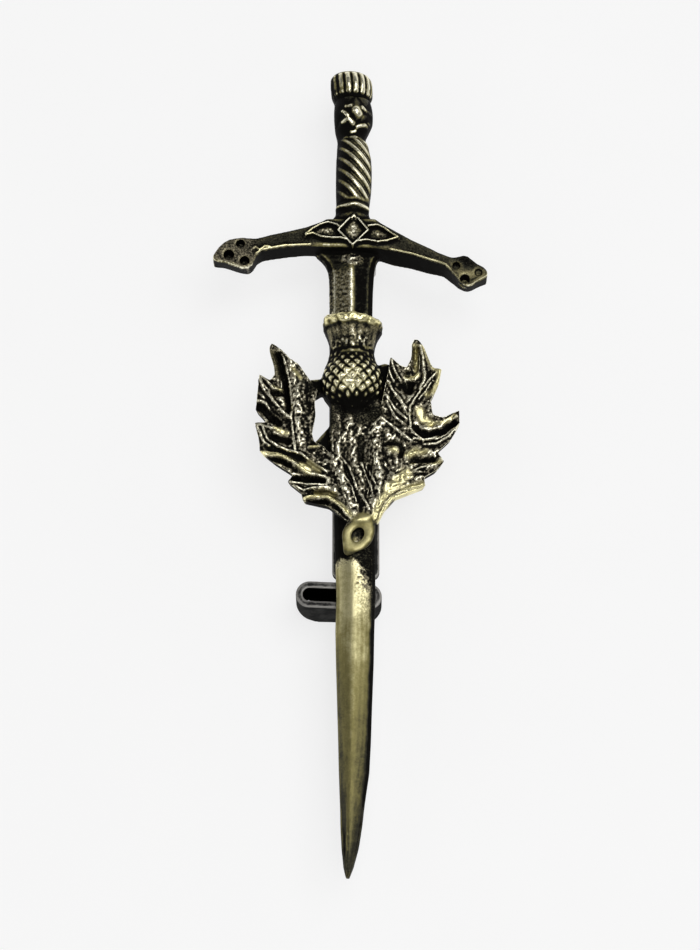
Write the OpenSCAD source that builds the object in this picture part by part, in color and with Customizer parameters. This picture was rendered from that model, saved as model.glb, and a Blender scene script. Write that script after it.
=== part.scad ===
// Sword kilt pin with a thistle spray, cast in antiqued brass, with its catch and pin behind.
// It lies face up: +Z is the front, +Y runs from the point to the pommel, and z = 0 is the
// plane that it rests on. The origin is under the middle of the overall box.

/* [Sword] */
// Length of the blade, from the axis of the guard to the point
blade_len = 73.5; // [66:0.5:82]
// Width that the blade's sections are shares of
blade_w = 5; // [4.4:0.1:5.8]
// Thickness of the blade at its ridge
blade_t = 2.1; // [1.7:0.1:2.5]
// Width of the worn flank along each edge of the blade
blade_flank = 0.55; // [0.3:0.05:0.8]
// Distance between the two ends of the guard
guard_span = 31; // [27:0.5:36]
// How far the lower end of the guard hangs below the guard's axis
guard_drop = 6.5; // [5.6:0.1:7.5]
// Thickness of the guard
guard_t = 3.1; // [2.6:0.1:3.6]
// Bevel along the front edges of the guard
guard_bevel = 0.2; // [0.1:0.05:0.3]
// Scale of the diameters of the drilled dots in the guard's ends
dot_scale = 1; // [0.7:0.05:1.2]

/* [Guard panel] */
// Width of the raised lines of the lozenge and its side panels
line_w = 0.36; // [0.24:0.02:0.5]
// Height of the raised lines above the guard
line_h = 0.36; // [0.2:0.02:0.6]

/* [Hilt] */
// Width that the hilt's sections are shares of
hilt_w = 5; // [4.4:0.1:5.8]
// Thickness that the hilt's sections are shares of
hilt_t = 4; // [3.4:0.1:4.6]
// Length of the neck, from the guard's axis to the foot of the grip
neck_len = 4.4; // [4.1:0.1:5]
// Length of the twisted grip
grip_len = 8.6; // [7:0.1:10]
// Length of the scaled bulb of the pommel
bulb_len = 4.6; // [4:0.1:5.6]
// Length of the fluted crown of the pommel
crown_len = 3.4; // [2.8:0.1:4.2]
// Depth of the grooves between the strands of the grip
strand_h = 0.3; // [0.1:0.02:0.4]
// Depth of the flutes in the pommel's crown
flute_h = 0.28; // [0.1:0.02:0.4]
// Height of the scales on the pommel's bulb
scale_h = 0.3; // [0.1:0.02:0.4]
// Height of the collar between the neck and the grip
collar_h = 0.16; // [0.05:0.01:0.3]

/* [Thistle spray] */
// Distance from the guard's axis down to the middle of the spray
spray_from_guard = 26.25; // [24:0.25:30]
// Width of the spray from leaf tip to leaf tip
spray_span = 23; // [20:0.5:26]
// Length of the spray from the rim of the flower to the foot of the knot's loop
spray_len = 27; // [24:0.5:30]
// Height of the leaves' rims above the spray's back
leaf_t = 2.6; // [2.2:0.1:3]
// Thickness of a leaf at its edge
edge_t = 1.5; // [1.2:0.1:2]
// Depth of the hollow between a leaf's rim and its rib
leaf_hollow = 0.6; // [0.3:0.05:0.7]
// Thickness of the flower head at its highest point
head_t = 5.1; // [4.4:0.1:5.8]
// Height of the scales on the flower head
head_scale_h = 0.34; // [0.1:0.02:0.44]
// Depth of the flutes in the flower's tuft
tuft_flute_h = 0.2; // [0.08:0.02:0.3]
// Thickness of the flat web that joins the leaves
web_t = 1.5; // [1.2:0.1:1.9]
// Clearance between the spray and the blade that it is seated on
seat_gap = 0.08; // [0.04:0.01:0.15]

/* [Back plate, catch and pin] */
// How far the casting's back stands above the surface that the pin rests on
stand_off = 5.4; // [4.6:0.1:6.4]
// How far the back of the blade and the hilt is set in from the back of the guard
back_step = 0.1; // [0:0.02:0.3]
// Clearance between a fitting and the casting's back
back_gap = 0.05; // [0.03:0.01:0.12]
// Width of the back plate
plate_w = 5.2; // [4.6:0.1:6]
// Length of the back plate
plate_len = 17.6; // [14:0.2:20]
// Thickness of the back plate
plate_t = 0.85; // [0.6:0.05:1.1]
// Distance from the guard's axis down to the middle of the catch
catch_from_guard = 41.95; // [40:0.05:44]
// Length of the catch's loop across the blade
catch_len = 9.45; // [8.6:0.1:11]
// Width of the catch's loop, over its two arms
catch_w = 3; // [2.6:0.1:3.6]
// Thickness of the catch's strip
catch_wall = 0.65; // [0.5:0.05:0.8]
// Diameter of the pin's stem
stem_d = 1.1; // [0.9:0.05:1.3]
// Height of the stem's centre above the resting surface
stem_z = 1.6; // [1.3:0.05:2]
// Length of the stem's sharpened end
stem_point = 4; // [3:0.25:6]
// How far the stem's point reaches past the catch
stem_past = 2.2; // [1:0.1:4]
// Clearance round the stem where it lies in the catch
stem_gap = 0.12; // [0.08:0.01:0.2]
// Width of the block that holds the stem
block_w = 5; // [4:0.1:6]
// Length of the block that holds the stem
block_len = 3.6; // [3:0.1:4.4]

/* [Hidden] */

hilt_len = neck_len + grip_len + bulb_len + crown_len;
guard_y = (blade_len - hilt_len) / 2;
guard_back = stand_off;
blade_back = guard_back + back_step;
guard_front = guard_back + guard_t;
round_sides = 48;

// Columns across the front of the hilt and of the flower head, in equal turns of angle
hilt_cols = 32;
head_cols = 40;
// Height of a section's side wall, as a share of its thickness
side_share = 0.3;
// Columns from one strand of the grip to the next, which is also rings from strand to strand
strand_cols = 5;
flutes = 8;
tuft_flutes = 10;
// Columns and rings in half a scale
hilt_scale_half = 4;
head_scale_half = 2;

// Squares of the drawing grids: the guard is drawn on 31 by 6.5, the spray on 23 by 27
guard_gx = guard_span / 31;
guard_gy = guard_drop / 6.5;
spray_gx = spray_span / 23;
spray_gy = spray_len / 27;

// Sections of the hilt: share of the part's length, then half widths to the left and right
// as shares of hilt_w, then thickness as a share of hilt_t
neck_rows = [
    [0.09, 0.50, 0.56, 0.62], [0.35, 0.50, 0.56, 0.68], [0.58, 0.41, 0.49, 0.72],
    [0.72, 0.34, 0.44, 0.75], [0.85, 0.32, 0.43, 0.78], [1.00, 0.316, 0.44, 0.80]];
grip_rows = [
    [0.00, 0.316, 0.44, 0.80], [0.19, 0.324, 0.48, 0.90], [0.41, 0.324, 0.50, 0.92],
    [0.63, 0.316, 0.49, 0.90], [0.82, 0.30, 0.44, 0.80], [1.00, 0.296, 0.36, 0.70]];
bulb_rows = [
    [0.00, 0.296, 0.36, 0.70], [0.18, 0.336, 0.43, 0.80], [0.43, 0.36, 0.52, 0.93],
    [0.67, 0.37, 0.525, 0.95], [0.90, 0.36, 0.49, 0.86], [1.00, 0.36, 0.46, 0.80]];
crown_rows = [
    [0.00, 0.36, 0.46, 0.80], [0.24, 0.42, 0.52, 0.90], [0.48, 0.44, 0.52, 0.91],
    [0.71, 0.45, 0.50, 0.86], [0.86, 0.43, 0.44, 0.78], [0.95, 0.36, 0.34, 0.65],
    [1.00, 0.20, 0.22, 0.48]];

// Sections of the blade: share of blade_len below the guard's axis, then half widths to the
// left and right and place of the ridge as shares of blade_w, then thickness as a share
blade_rows = [
    [0.008, 0.84, 0.76, 0.02, 0.86], [0.024, 0.76, 0.70, 0.02, 0.88],
    [0.031, 0.65, 0.63, 0.02, 0.92], [0.039, 0.56, 0.585, 0.02, 0.96],
    [0.049, 0.50, 0.555, 0.02, 1.00], [0.062, 0.475, 0.54, 0.02, 1.00], [0.085, 0.468, 0.52, 0.02, 1.00],
    [0.14, 0.46, 0.50, 0.02, 1.00], [0.40, 0.38, 0.54, 0.05, 1.00],
    [0.58, 0.30, 0.555, 0.068, 1.00], [0.63, 0.32, 0.53, 0.068, 1.00],
    [0.68, 0.305, 0.515, 0.054, 1.00], [0.74, 0.28, 0.48, 0.04, 1.00],
    [0.80, 0.255, 0.45, 0.02, 0.98], [0.845, 0.24, 0.415, 0.006, 0.94],
    [0.88, 0.222, 0.34, -0.01, 0.88], [0.92, 0.198, 0.26, -0.02, 0.80],
    [0.957, 0.16, 0.165, -0.032, 0.70], [0.984, 0.122, 0.06, -0.044, 0.58],
    [1.00, 0.07, -0.03, -0.052, 0.46]];

// Sections across the guard, on its grid: place, upper edge, lower edge at the front, and
// how much lower the edge lies at the back
guard_rows = [
    [-15.5, -2.65, -3, -0.2], [-15.3, -2.25, -3.2, -0.4], [-14.9, -1.6, -3.35, -0.5],
    [-14.3, -0.95, -3.45, -0.55], [-13.7, -0.6, -3.65, -0.55], [-13, -0.42, -3.9, -0.55],
    [-12.2, -0.35, -4.15, -0.55], [-11.5, -0.4, -4.15, -0.5], [-11.05, -0.45, -3.7, -0.4],
    [-10.6, -0.45, -2.7, -0.2], [-10, -0.3, -2.1, 0], [-9, 0, -1.85, 0.05], [-7, 0.45, -1.55, 0.05],
    [-5, 0.95, -1.4, 0], [-3.2, 1.65, -1.45, 0], [-2.4, 2.1, -1.5, 0], [-1.9, 2.7, -1.5, 0],
    [2.3, 2.7, -1.6, 0.1], [2.8, 2, -1.65, 0.3], [3.6, 1.4, -1.75, 0.4], [5, 0.55, -2.05, 0.6],
    [7, -0.65, -2.55, 0.5], [9, -1.65, -3.25, 0.4],
    [10, -2.2, -3.55, 0.3], [10.7, -2.5, -3.85, 0.2], [11.3, -2.75, -4.5, 0.1],
    [11.8, -2.8, -5.1, -0.1], [12.3, -2.7, -5.75, -0.3], [12.8, -2.55, -6.2, -0.5],
    [13.3, -2.65, -6.4, -0.55], [13.8, -3.1, -6.25, -0.55], [14.4, -3.6, -5.85, -0.5],
    [15, -3.95, -5.5, -0.4], [15.35, -4.3, -5.25, -0.3], [15.5, -4.6, -5, -0.1]];

// Drilled dots on the guard's grid: place across, place along, radius and depth
dots = [
    [-12.4, -1.15, 0.5, 1.2], [-13.7, -2.5, 0.6, 1.6], [-11.9, -3.25, 0.55, 1.4],
    [12.0, -3.85, 0.45, 0.7], [12.95, -5.5, 0.55, 1.5], [14.5, -4.7, 0.42, 0.35]];

// Raised lines of the guard's panel, each a list of points on the guard's grid
panel_lines = [
    [[0.45, 2.4], [2.05, 0.35], [0.3, -1.45], [-1.35, 0.35], [0.45, 2.4]],
    [[-5, -0.15], [-4.3, 0.5], [-3.4, 1.05], [-2.5, 1.35], [-1.5, 1.05], [-1.1, 0.7]],
    [[-5, -0.25], [-4.2, 0], [-3.2, -0.45], [-2.1, -0.6], [-1, -0.6], [-0.5, -0.75]],
    [[2.1, 0.9], [3.1, 1], [3.9, 0.6], [4.7, -0.05], [5.4, -0.5]],
    [[0.9, -1], [1.9, -0.85], [3.1, -1.1], [4.2, -0.95], [5.4, -0.55]]];

// Sections of the flower head: share of its part's length, then half widths to the left and
// right on the spray's grid, then thickness as a share of head_t
head_foot = 5.1;
head_neck = 12.2;
tuft_top = 16.2;
head_rows = [
    [0.00, 0.9, 1.4, 0.52], [0.07, 1.8, 2.3, 0.66], [0.20, 2.65, 3.15, 0.85],
    [0.38, 3.05, 3.6, 0.97], [0.52, 3.1, 3.65, 1.00], [0.70, 2.85, 3.3, 0.94],
    [0.87, 2.45, 2.85, 0.79], [1.00, 2.3, 2.7, 0.70]];
tuft_rows = [
    [0.00, 2.3, 2.7, 0.70], [0.30, 2.35, 2.85, 0.69], [0.58, 2.6, 3.15, 0.73],
    [0.80, 2.9, 3.5, 0.79], [0.93, 3, 3.65, 0.81], [1.00, 2.85, 3.5, 0.77]];
// How much lower the tuft's rim lies at its right for each unit across
tuft_lean = 0.1;

// Leaves on the spray's grid, from foot to tip: point on the rib, point on the left edge and
// point on the right edge, then 1 where a raised vein runs out to a lobe's tip, else 0
left_leaf = [
    [0.4, -7.9, -0.5, -8, 1.2, -7.6, 0], [-0.4, -6.6, -2.4, -6.4, 0.8, -6.2, 0],
    [-0.9, -5.6, -5.2, -5.8, 0.4, -5.2, 1], [-1.3, -4.9, -5.4, -4.8, 0, -4.4, 0],
    [-1.7, -4.3, -6.9, -3.6, -0.4, -3.6, 1], [-2.3, -3.5, -6.3, -2.7, -0.9, -2.6, 0],
    [-2.8, -2.7, -8.4, -1.3, -1.3, -1.8, 0], [-3.4, -1.8, -10, 0, -1.7, -0.9, 1],
    [-4, -0.8, -10.1, 1.3, -2.2, -0.2, 0], [-4.5, 0.2, -10.6, 3.45, -2.9, 0.6, 1],
    [-5, 1.4, -9.2, 3.5, -4, 1.2, 0], [-5.4, 2.7, -10.5, 4.9, -4.2, 2.2, 0],
    [-5.8, 4.2, -10.15, 9.2, -3.8, 4.2, 1], [-6, 5.8, -8.9, 8.5, -3.9, 5.9, 0],
    [-6.3, 7.2, -8.4, 9.2, -3.6, 7.4, 0], [-6.6, 8.8, -8.5, 10.2, -4.7, 8.9, 0],
    [-7, 10.2, -8.8, 11.3, -5.7, 10.4, 0], [-7.6, 11.2, -9, 12, -6.7, 11.1, 0],
    [-8.1, 12.1, -9, 12.5, -7.6, 12.1, 0], [-8.6, 12.8, -8.75, 12.9, -8.45, 12.75, 0]];
right_leaf = [
    [2, -8, 1.2, -7.6, 3.2, -8.2, 0], [2.7, -6.6, 1.6, -6.2, 3.8, -6.8, 0],
    [3.3, -5.4, 1.9, -4.8, 5, -5.4, 0], [3.8, -4.4, 2.2, -3.6, 8.3, -4.1, 1],
    [4.2, -3.6, 2.4, -2.6, 8.2, -3, 0], [4.5, -2.8, 2.5, -1.8, 9.6, -2.2, 0],
    [4.8, -2, 2.6, -1, 10.4, -1.2, 1], [5.1, -1.2, 2.7, -0.2, 9.7, 0, 0],
    [5.4, -0.4, 2.8, 0.7, 11.2, 1.4, 0], [5.6, 0.5, 2.9, 1.7, 12.2, 3.2, 0],
    [5.8, 1.5, 3, 2.7, 12.15, 4.9, 1], [6, 2.6, 3.2, 4, 10.6, 4, 0],
    [6.2, 3.7, 3.4, 5.4, 9.2, 4.4, 0], [6.4, 4.8, 3.7, 6.9, 9, 6, 0],
    [6.6, 5.9, 4.1, 9, 9.9, 8, 0], [6.8, 7, 4.5, 11.3, 10.25, 9.8, 1],
    [7.1, 8.2, 5.6, 10.3, 9.3, 10, 0], [7.4, 9.2, 6.3, 10, 9, 10.5, 0],
    [7.6, 10.4, 6.8, 11, 8.6, 11.6, 0], [7.6, 11.5, 6.9, 12, 8.3, 12.4, 0],
    [7.5, 12.5, 6.9, 12.8, 7.9, 13, 0], [7.4, 13.3, 7.2, 13.4, 7.6, 13.35, 0]];
// Section of a leaf from its rib to its edge: share of the way out, and how far below the rim
// it lies as a share of leaf_hollow, on a plain ring and on a vein
leaf_section = [[0.05, -0.2, -0.2], [0.3, 0.6, 0.2], [0.65, 1, -0.15], [0.9, 0, -0.1],
    [1, 0.25, 0.1]];

// Stems from the flower head down to the knot, and the tail and loop of the knot, as points on the
// spray's grid with the half width and the top as a share of leaf_t
stems = [
    [[-1.5, 5.9, 0.7, 0.93], [-1.55, 2.2, 0.75, 0.96], [-1.3, -2.2, 0.85, 0.97],
        [-0.1, -5, 0.85, 0.98], [1, -8, 0.85, 0.97]],
    [[2.7, 5.9, 0.8, 0.94], [3, 1, 0.85, 0.95], [3.1, -2.5, 0.85, 0.96], [2.7, -5.4, 0.85, 0.97],
        [1.9, -8, 0.8, 0.96]],
    [[0.4, 6, 1.3, 0.86], [0.7, 0, 1.2, 0.88], [1, -4, 1, 0.9], [1.4, -8, 0.9, 0.92]]];
knot = [[-0.65, -11.7, 0.3, 0.96], [-0.25, -11, 0.34, 1.03], [-0.15, -10.1, 0.32, 1.06],
    [0.05, -9.2, 0.36, 1.07], [0.75, -8.3, 0.6, 1.07], [1.7, -7.9, 0.7, 1.04],
    [2.05, -9, 0.45, 1.05], [1.8, -10, 0.38, 1.06], [1.15, -10.95, 0.38, 1.05],
    [0.35, -11.25, 0.38, 1.03], [-0.25, -11, 0.34, 1.03]];

// Outline of the web behind the stems, on the spray's grid
web_middle = [[-2.3, 6.6], [-2.3, 3.3], [-2.9, 2.6], [-4, 1.3], [-4.2, -1.5], [-2.6, -4],
    [-0.9, -7.2], [2.9, -7.4], [4.2, -4.2], [5, -1], [5.7, 2], [6, 4.5], [4.6, 6.5], [3, 7]];
web_right = [[2.4, 10.4], [4, 10.9], [5.2, 10.2], [6.1, 8], [6, 4.6], [2.6, 5.2]];
web_bridge = [[-5.4, 8.5], [-4.3, 8.9], [-2.3, 9.1], [-2.3, 7.2], [-3, 7.4], [-3.6, 7],
    [-5.2, 6.2]];

// Value of one column of a table at a place along it, on a smooth curve through its rows
function place_in(rows, at) =
    max([for (i = [0 : len(rows) - 2]) if (i == 0 || rows[i][0] <= at) i]);
function slope(a, b, col) = (b[col] - a[col]) / (b[0] - a[0]);
function hermite(a, b, m, n, u) =
    a * (2 * pow(u, 3) - 3 * pow(u, 2) + 1) + m * (pow(u, 3) - 2 * pow(u, 2) + u)
    + b * (3 * pow(u, 2) - 2 * pow(u, 3)) + n * (pow(u, 3) - pow(u, 2));
function smooth_at(rows, col, at) =
    let (i = place_in(rows, at), a = rows[i], b = rows[i + 1],
        before = rows[max(i - 1, 0)], after = rows[min(i + 2, len(rows) - 1)],
        step = b[0] - a[0], u = (at - a[0]) / step)
    hermite(a[col], b[col], slope(before, b, col) * step, slope(a, after, col) * step, u);

// Closed skin over rings of equal count, with each cell's diagonal given by its place.
// The rings turn anticlockwise as seen from the last one.
function cell(n, i, j, diagonal) =
    let (k = (j + 1) % n, a = i * n + j, b = i * n + k, c = (i + 1) * n + k, d = (i + 1) * n + j)
    diagonal ? [[a, d, b], [b, d, c]] : [[a, c, b], [a, d, c]];
module skin(rings, diagonals) {
    n = len(rings[0]);
    last = len(rings) - 1;
    sides = [for (i = [0 : last - 1], j = [0 : n - 1], f = cell(n, i, j, diagonals[i][j])) f];
    caps = [[for (j = [0 : n - 1]) j], [for (j = [n - 1 : -1 : 0]) last * n + j]];
    points = [for (ring = rings, p = ring) p];
    polyhedron(points = points, faces = concat(sides, caps), convexity = 10);
}
function same_diagonals(rings, value) =
    [for (i = [0 : len(rings) - 1]) [for (j = [0 : len(rings[0]) - 1]) value]];

// Heights of the three kinds of relief, each from 0 in its grooves to 1 on its crests
function rounded_rib(turns) = abs(sin(180 * turns));
// Relief that stands in from the mean surface by this share of its height
relief_in = 0.6;
function scale_at(i, j, half) =
    let (a = abs((i % (2 * half)) / half - 1), b = abs((j % (2 * half)) / half - 1))
    abs(a + b - 1);
function scale_diagonal(i, j, half) = (floor(i / half) + floor(j / half)) % 2 == 0;

// One section of a rounded front with a flat back: reliefs holds a height for each column
function section(y, left, right, back, thick, reliefs, lean = 0) =
    let (cols = len(reliefs) - 1, middle = (right - left) / 2, half = (right + left) / 2,
        wall = side_share * thick)
    concat([[middle - half, y - lean * (middle - half), back]],
        [for (j = [0 : cols]) let (turn = 180 - 180 * j / cols, h = reliefs[j] * min(1, 2 * sin(turn)),
                x = middle + (half + h) * cos(turn))
            [x, y - lean * x, back + wall + (thick - wall + h) * sin(turn)]],
        [[middle + half, y - lean * (middle + half), back]]);
function table_section(rows, share, y, unit_w, unit_t, back, reliefs, lean = 0) =
    section(y, smooth_at(rows, 1, share) * unit_w, smooth_at(rows, 2, share) * unit_w, back,
        smooth_at(rows, 3, share) * unit_t, reliefs, lean);

// Hilt: neck with its collar, twisted grip, scaled bulb and fluted crown, as one skin
neck_steps = [0.09, 0.3, 0.5, 0.62, 0.74, 0.79, 0.85, 0.91, 0.96];
collar_at = 0.85;
grip_pitch = 0.25;
grip_steps = round(grip_len / grip_pitch);
bulb_steps = 4 * hilt_scale_half;
crown_steps = [0.05, 0.14, 0.28, 0.42, 0.56, 0.7, 0.82, 0.9, 0.96, 1];
function neck_rings() = [for (share = neck_steps)
    table_section(neck_rows, share, guard_y + share * neck_len, hilt_w, hilt_t, blade_back,
        [for (j = [0 : hilt_cols]) share == collar_at ? collar_h : 0])];
function grip_rings() = [for (i = [0 : grip_steps]) let (share = i / grip_steps)
    table_section(grip_rows, share, guard_y + neck_len + share * grip_len, hilt_w, hilt_t,
        blade_back, [for (j = [0 : hilt_cols])
            strand_h * (rounded_rib((i + j) / strand_cols) - 1) * min(1, 8 * min(share, 1 - share))])];
function bulb_rings() = [for (i = [1 : bulb_steps - 1]) let (share = i / bulb_steps)
    table_section(bulb_rows, share, guard_y + neck_len + grip_len + share * bulb_len,
        hilt_w, hilt_t, blade_back,
        [for (j = [0 : hilt_cols]) scale_h * (scale_at(i, j, hilt_scale_half) - relief_in)])];
function crown_rings() = [for (share = crown_steps)
    table_section(crown_rows, share, guard_y + hilt_len - crown_len + share * crown_len,
        hilt_w, hilt_t, blade_back,
        [for (j = [0 : hilt_cols]) flute_h * (rounded_rib(flutes * j / hilt_cols) - relief_in)
            * min(1, 5 * share)])];
module hilt() {
    rings = concat(neck_rings(), grip_rings(), bulb_rings(), crown_rings());
    first_bulb = len(neck_steps) + grip_steps + 1;
    first_crown = first_bulb + bulb_steps - 1;
    skin(rings, [for (i = [0 : len(rings) - 1]) [for (j = [0 : hilt_cols + 2])
        i >= first_bulb && i < first_crown
        ? scale_diagonal(i - first_bulb + 1, j - 1, hilt_scale_half) : true]]);
}

// Blade: two facets that meet at a low ridge, with a worn flank along each edge. grow makes
// the form larger all round, for the seat of the spray.
// Heights of the blade's edge and of the flank's upper side, as shares of its thickness
edge_share = 0.45;
flank_share = 0.76;
// Where rings are added in the long stretches of the blade, as shares of blade_len
blade_extra = [0.27, 0.5];
function blade_ring(share, grow) =
    let (left = smooth_at(blade_rows, 1, share) * blade_w + grow,
        right = smooth_at(blade_rows, 2, share) * blade_w + grow,
        ridge = smooth_at(blade_rows, 3, share) * blade_w,
        thick = smooth_at(blade_rows, 4, share) * blade_t, front = blade_back + grow,
        edge_top = front + edge_share * thick, flank_top = front + flank_share * thick,
        flank = min(blade_flank, (left + right) / 4), y = guard_y - share * blade_len,
        back = blade_back - grow)
    [[-left, y, back], [right, y, back], [right, y, edge_top], [right - flank, y, flank_top],
        [ridge, y, front + thick], [flank - left, y, flank_top], [-left, y, edge_top]];
module blade(grow = 0) {
    shares = [for (row = blade_rows) row[0]];
    stops = concat([for (s = shares) if (s < blade_extra[0]) s], [blade_extra[0]],
        [for (s = shares) if (s > blade_extra[0] && s < blade_extra[1]) s], [blade_extra[1]],
        [for (s = shares) if (s > blade_extra[1]) s]);
    rings = [for (s = stops) blade_ring(s, grow)];
    skin(rings, same_diagonals(rings, true));
}

// Guard: sections across it, each with bevelled front edges
function guard_ring(row) =
    let (x = row[0] * guard_gx, top = guard_y + row[1] * guard_gy, low = guard_y + row[2] * guard_gy,
        bevel = min(guard_bevel, (top - low) / 4))
    [[x, top, guard_back], [x, top, guard_front - bevel], [x, top - bevel, guard_front],
        [x, low + bevel, guard_front], [x, low, guard_front - bevel],
        [x, low - row[3] * guard_gy, guard_back]];
module guard() {
    rings = [for (row = guard_rows) guard_ring(row)];
    skin(rings, same_diagonals(rings, false));
}
module dot_drills() {
    for (dot = dots) {
        translate([dot[0] * guard_gx, guard_y + dot[1] * guard_gy, guard_front - dot[3]])
            cylinder(r = dot[2] * dot_scale, h = dot[3] + 1, $fn = round_sides);
    }
}

// Raised line along a list of flat points: a low bar with sloping sides, whose straight
// stretches reach a little past each other
module raised_line(points, width, foot, crest) {
    last = len(points) - 1;
    rings = [for (i = [0 : last]) let (
            d = points[min(i + 1, last)] - points[max(i - 1, 0)], side = [-d[1], d[0]] / norm(d),
            p = points[i])
        [for (step = [[0.5, foot], [0.3, crest], [-0.3, crest], [-0.5, foot]])
            [p[0] + side[0] * width * step[0], p[1] + side[1] * width * step[0], step[1]]]];
    skin(rings, same_diagonals(rings, false));
}
module panel() {
    for (line = panel_lines) {
        points = [for (p = line) [p[0] * guard_gx, guard_y + p[1] * guard_gy]];
        for (i = [0 : len(points) - 2]) {
            along = (points[i + 1] - points[i]) / norm(points[i + 1] - points[i]) * line_w / 3;
            raised_line([points[i] - along, points[i + 1] + along], line_w,
                guard_front - line_h, guard_front + line_h);
        }
    }
}

module sword() {
    color("darkgoldenrod") {
        difference() {
            guard();
            dot_drills();
        }
        hilt();
        blade();
        panel();
    }
}

// Spray: everything on it is placed from its own middle on the axis of the sword
spray_y = guard_y - spray_from_guard;
seat_share = 0.24;
spray_back = blade_back + seat_share * blade_t;
leaf_rim = spray_back + leaf_t;

// Flower head: scaled bulb and fluted tuft, as one skin
head_steps = 5 * 2 * head_scale_half;
tuft_steps = [0.12, 0.3, 0.5, 0.68, 0.82, 0.9, 0.96, 1];
function head_y(share) = spray_y + (head_foot + share * (head_neck - head_foot)) * spray_gy;
function tuft_y(share) = spray_y + (head_neck + share * (tuft_top - head_neck)) * spray_gy;
function head_rings() = [for (i = [0 : head_steps]) let (share = i / head_steps)
    table_section(head_rows, share, head_y(share), spray_gx, head_t, spray_back,
        [for (j = [0 : head_cols]) head_scale_h * (scale_at(i, j, head_scale_half) - relief_in)])];
function tuft_rings() = [for (share = tuft_steps)
    table_section(tuft_rows, share, tuft_y(share), spray_gx, head_t, spray_back,
        [for (j = [0 : head_cols]) tuft_flute_h * (rounded_rib(tuft_flutes * j / head_cols) - relief_in)
            * min(1, 3 * share)], tuft_lean * share)];
module flower_head() {
    rings = concat(head_rings(), tuft_rings());
    skin(rings, [for (i = [0 : len(rings) - 1]) [for (j = [0 : head_cols + 2])
        i < head_steps ? scale_diagonal(i, j - 1, head_scale_half) : true]]);
}

// Leaf: rings from edge to edge across the rib, with hollows between the veins
// Reach of a side of the leaf from which its hollow is full
full_reach = 1.5;
// How far out from the rib the leaf's back edge lies, as a share of the front's
draft_share = 0.94;
function leaf_side(row, side, vein) =
    let (rib = [row[0], row[1]], edge = side < 0 ? [row[2], row[3]] : [row[4], row[5]],
        reach = min(1, norm(edge - rib) / full_reach))
    [for (s = leaf_section)
        concat(rib + (edge - rib) * s[0],
            [leaf_rim - leaf_hollow * reach * (vein * s[2] + (1 - vein) * s[1])])];
function leaf_foot(row, col) =
    [row[0] + (row[col] - row[0]) * draft_share, row[1] + (row[col + 1] - row[1]) * draft_share,
        leaf_rim - edge_t];
function leaf_ring(row) =
    let (left = leaf_side(row, -1, row[6]), right = leaf_side(row, 1, row[6]),
        last = len(left) - 1,
        front = concat([for (i = [last : -1 : 0]) left[i]], right))
    [for (p = concat([leaf_foot(row, 2)], front, [leaf_foot(row, 4)]))
        [p[0] * spray_gx, spray_y + p[1] * spray_gy, p[2]]];
module leaf(rows) {
    rings = [for (row = rows) leaf_ring(row)];
    skin(rings, same_diagonals(rings, true));
}

// Stem: a chain of links between its points, each narrower at its front
stem_sides = 10;
wall_share = 0.72;
crest_share = 0.5;
module stem_post(p) {
    top = p[3] * leaf_t;
    radius = p[2] * spray_gx;
    translate([p[0] * spray_gx, spray_y + p[1] * spray_gy, spray_back]) {
        cylinder(r = radius, h = wall_share * top, $fn = stem_sides);
        cylinder(r = crest_share * radius, h = top, $fn = stem_sides);
    }
}
module stem(points) {
    for (i = [0 : len(points) - 2]) {
        hull() {
            stem_post(points[i]);
            stem_post(points[i + 1]);
        }
    }
}
module web(outline) {
    translate([0, spray_y, spray_back])
        linear_extrude(web_t)
            polygon([for (p = outline) [p[0] * spray_gx, p[1] * spray_gy]]);
}

module thistle_spray() {
    color("peru") difference() {
        union() {
            flower_head();
            leaf(left_leaf);
            leaf(right_leaf);
            for (points = stems) stem(points);
            stem(knot);
            web(web_middle);
            web(web_bridge);
            web(web_right);
        }
        blade(seat_gap);
    }
}

// Back plate: a strip behind the blade, with rounded ends
catch_y = guard_y - catch_from_guard;
plate_catch_gap = 0.35;
plate_low = catch_y + catch_w / 2 + plate_catch_gap;
plate_x = 0.635;
plate_corner = 0.9;
module rounded_plate(width, length, corner) {
    square([width - 2 * corner, length], center = true);
    square([width, length - 2 * corner], center = true);
    for (x = [-1, 1], y = [-1, 1]) {
        translate([x * (width / 2 - corner), y * (length / 2 - corner)])
            circle(corner, $fn = round_sides);
    }
}
module back_plate() {
    color("saddlebrown")
        translate([plate_x, plate_low + plate_len / 2, blade_back - back_gap - plate_t])
            linear_extrude(plate_t)
                rounded_plate(plate_w, plate_len, plate_corner);
}

// Catch: a strip on edge, bent into a long loop across the back of the blade. Its back
// corners are cut away, and each arm has a notch that opens at the back for the stem.
catch_right = 3.5;
catch_x = catch_right - catch_len / 2;
catch_lean = -2.5;
catch_height = blade_back - back_gap;
stem_x = 0.5;
notch_w = stem_d + 2 * stem_gap;
module race_track(length, width) {
    square([length - width, width], center = true);
    for (x = [-1, 1]) {
        translate([x * (length - width) / 2, 0]) circle(d = width, $fn = round_sides);
    }
}
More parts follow.
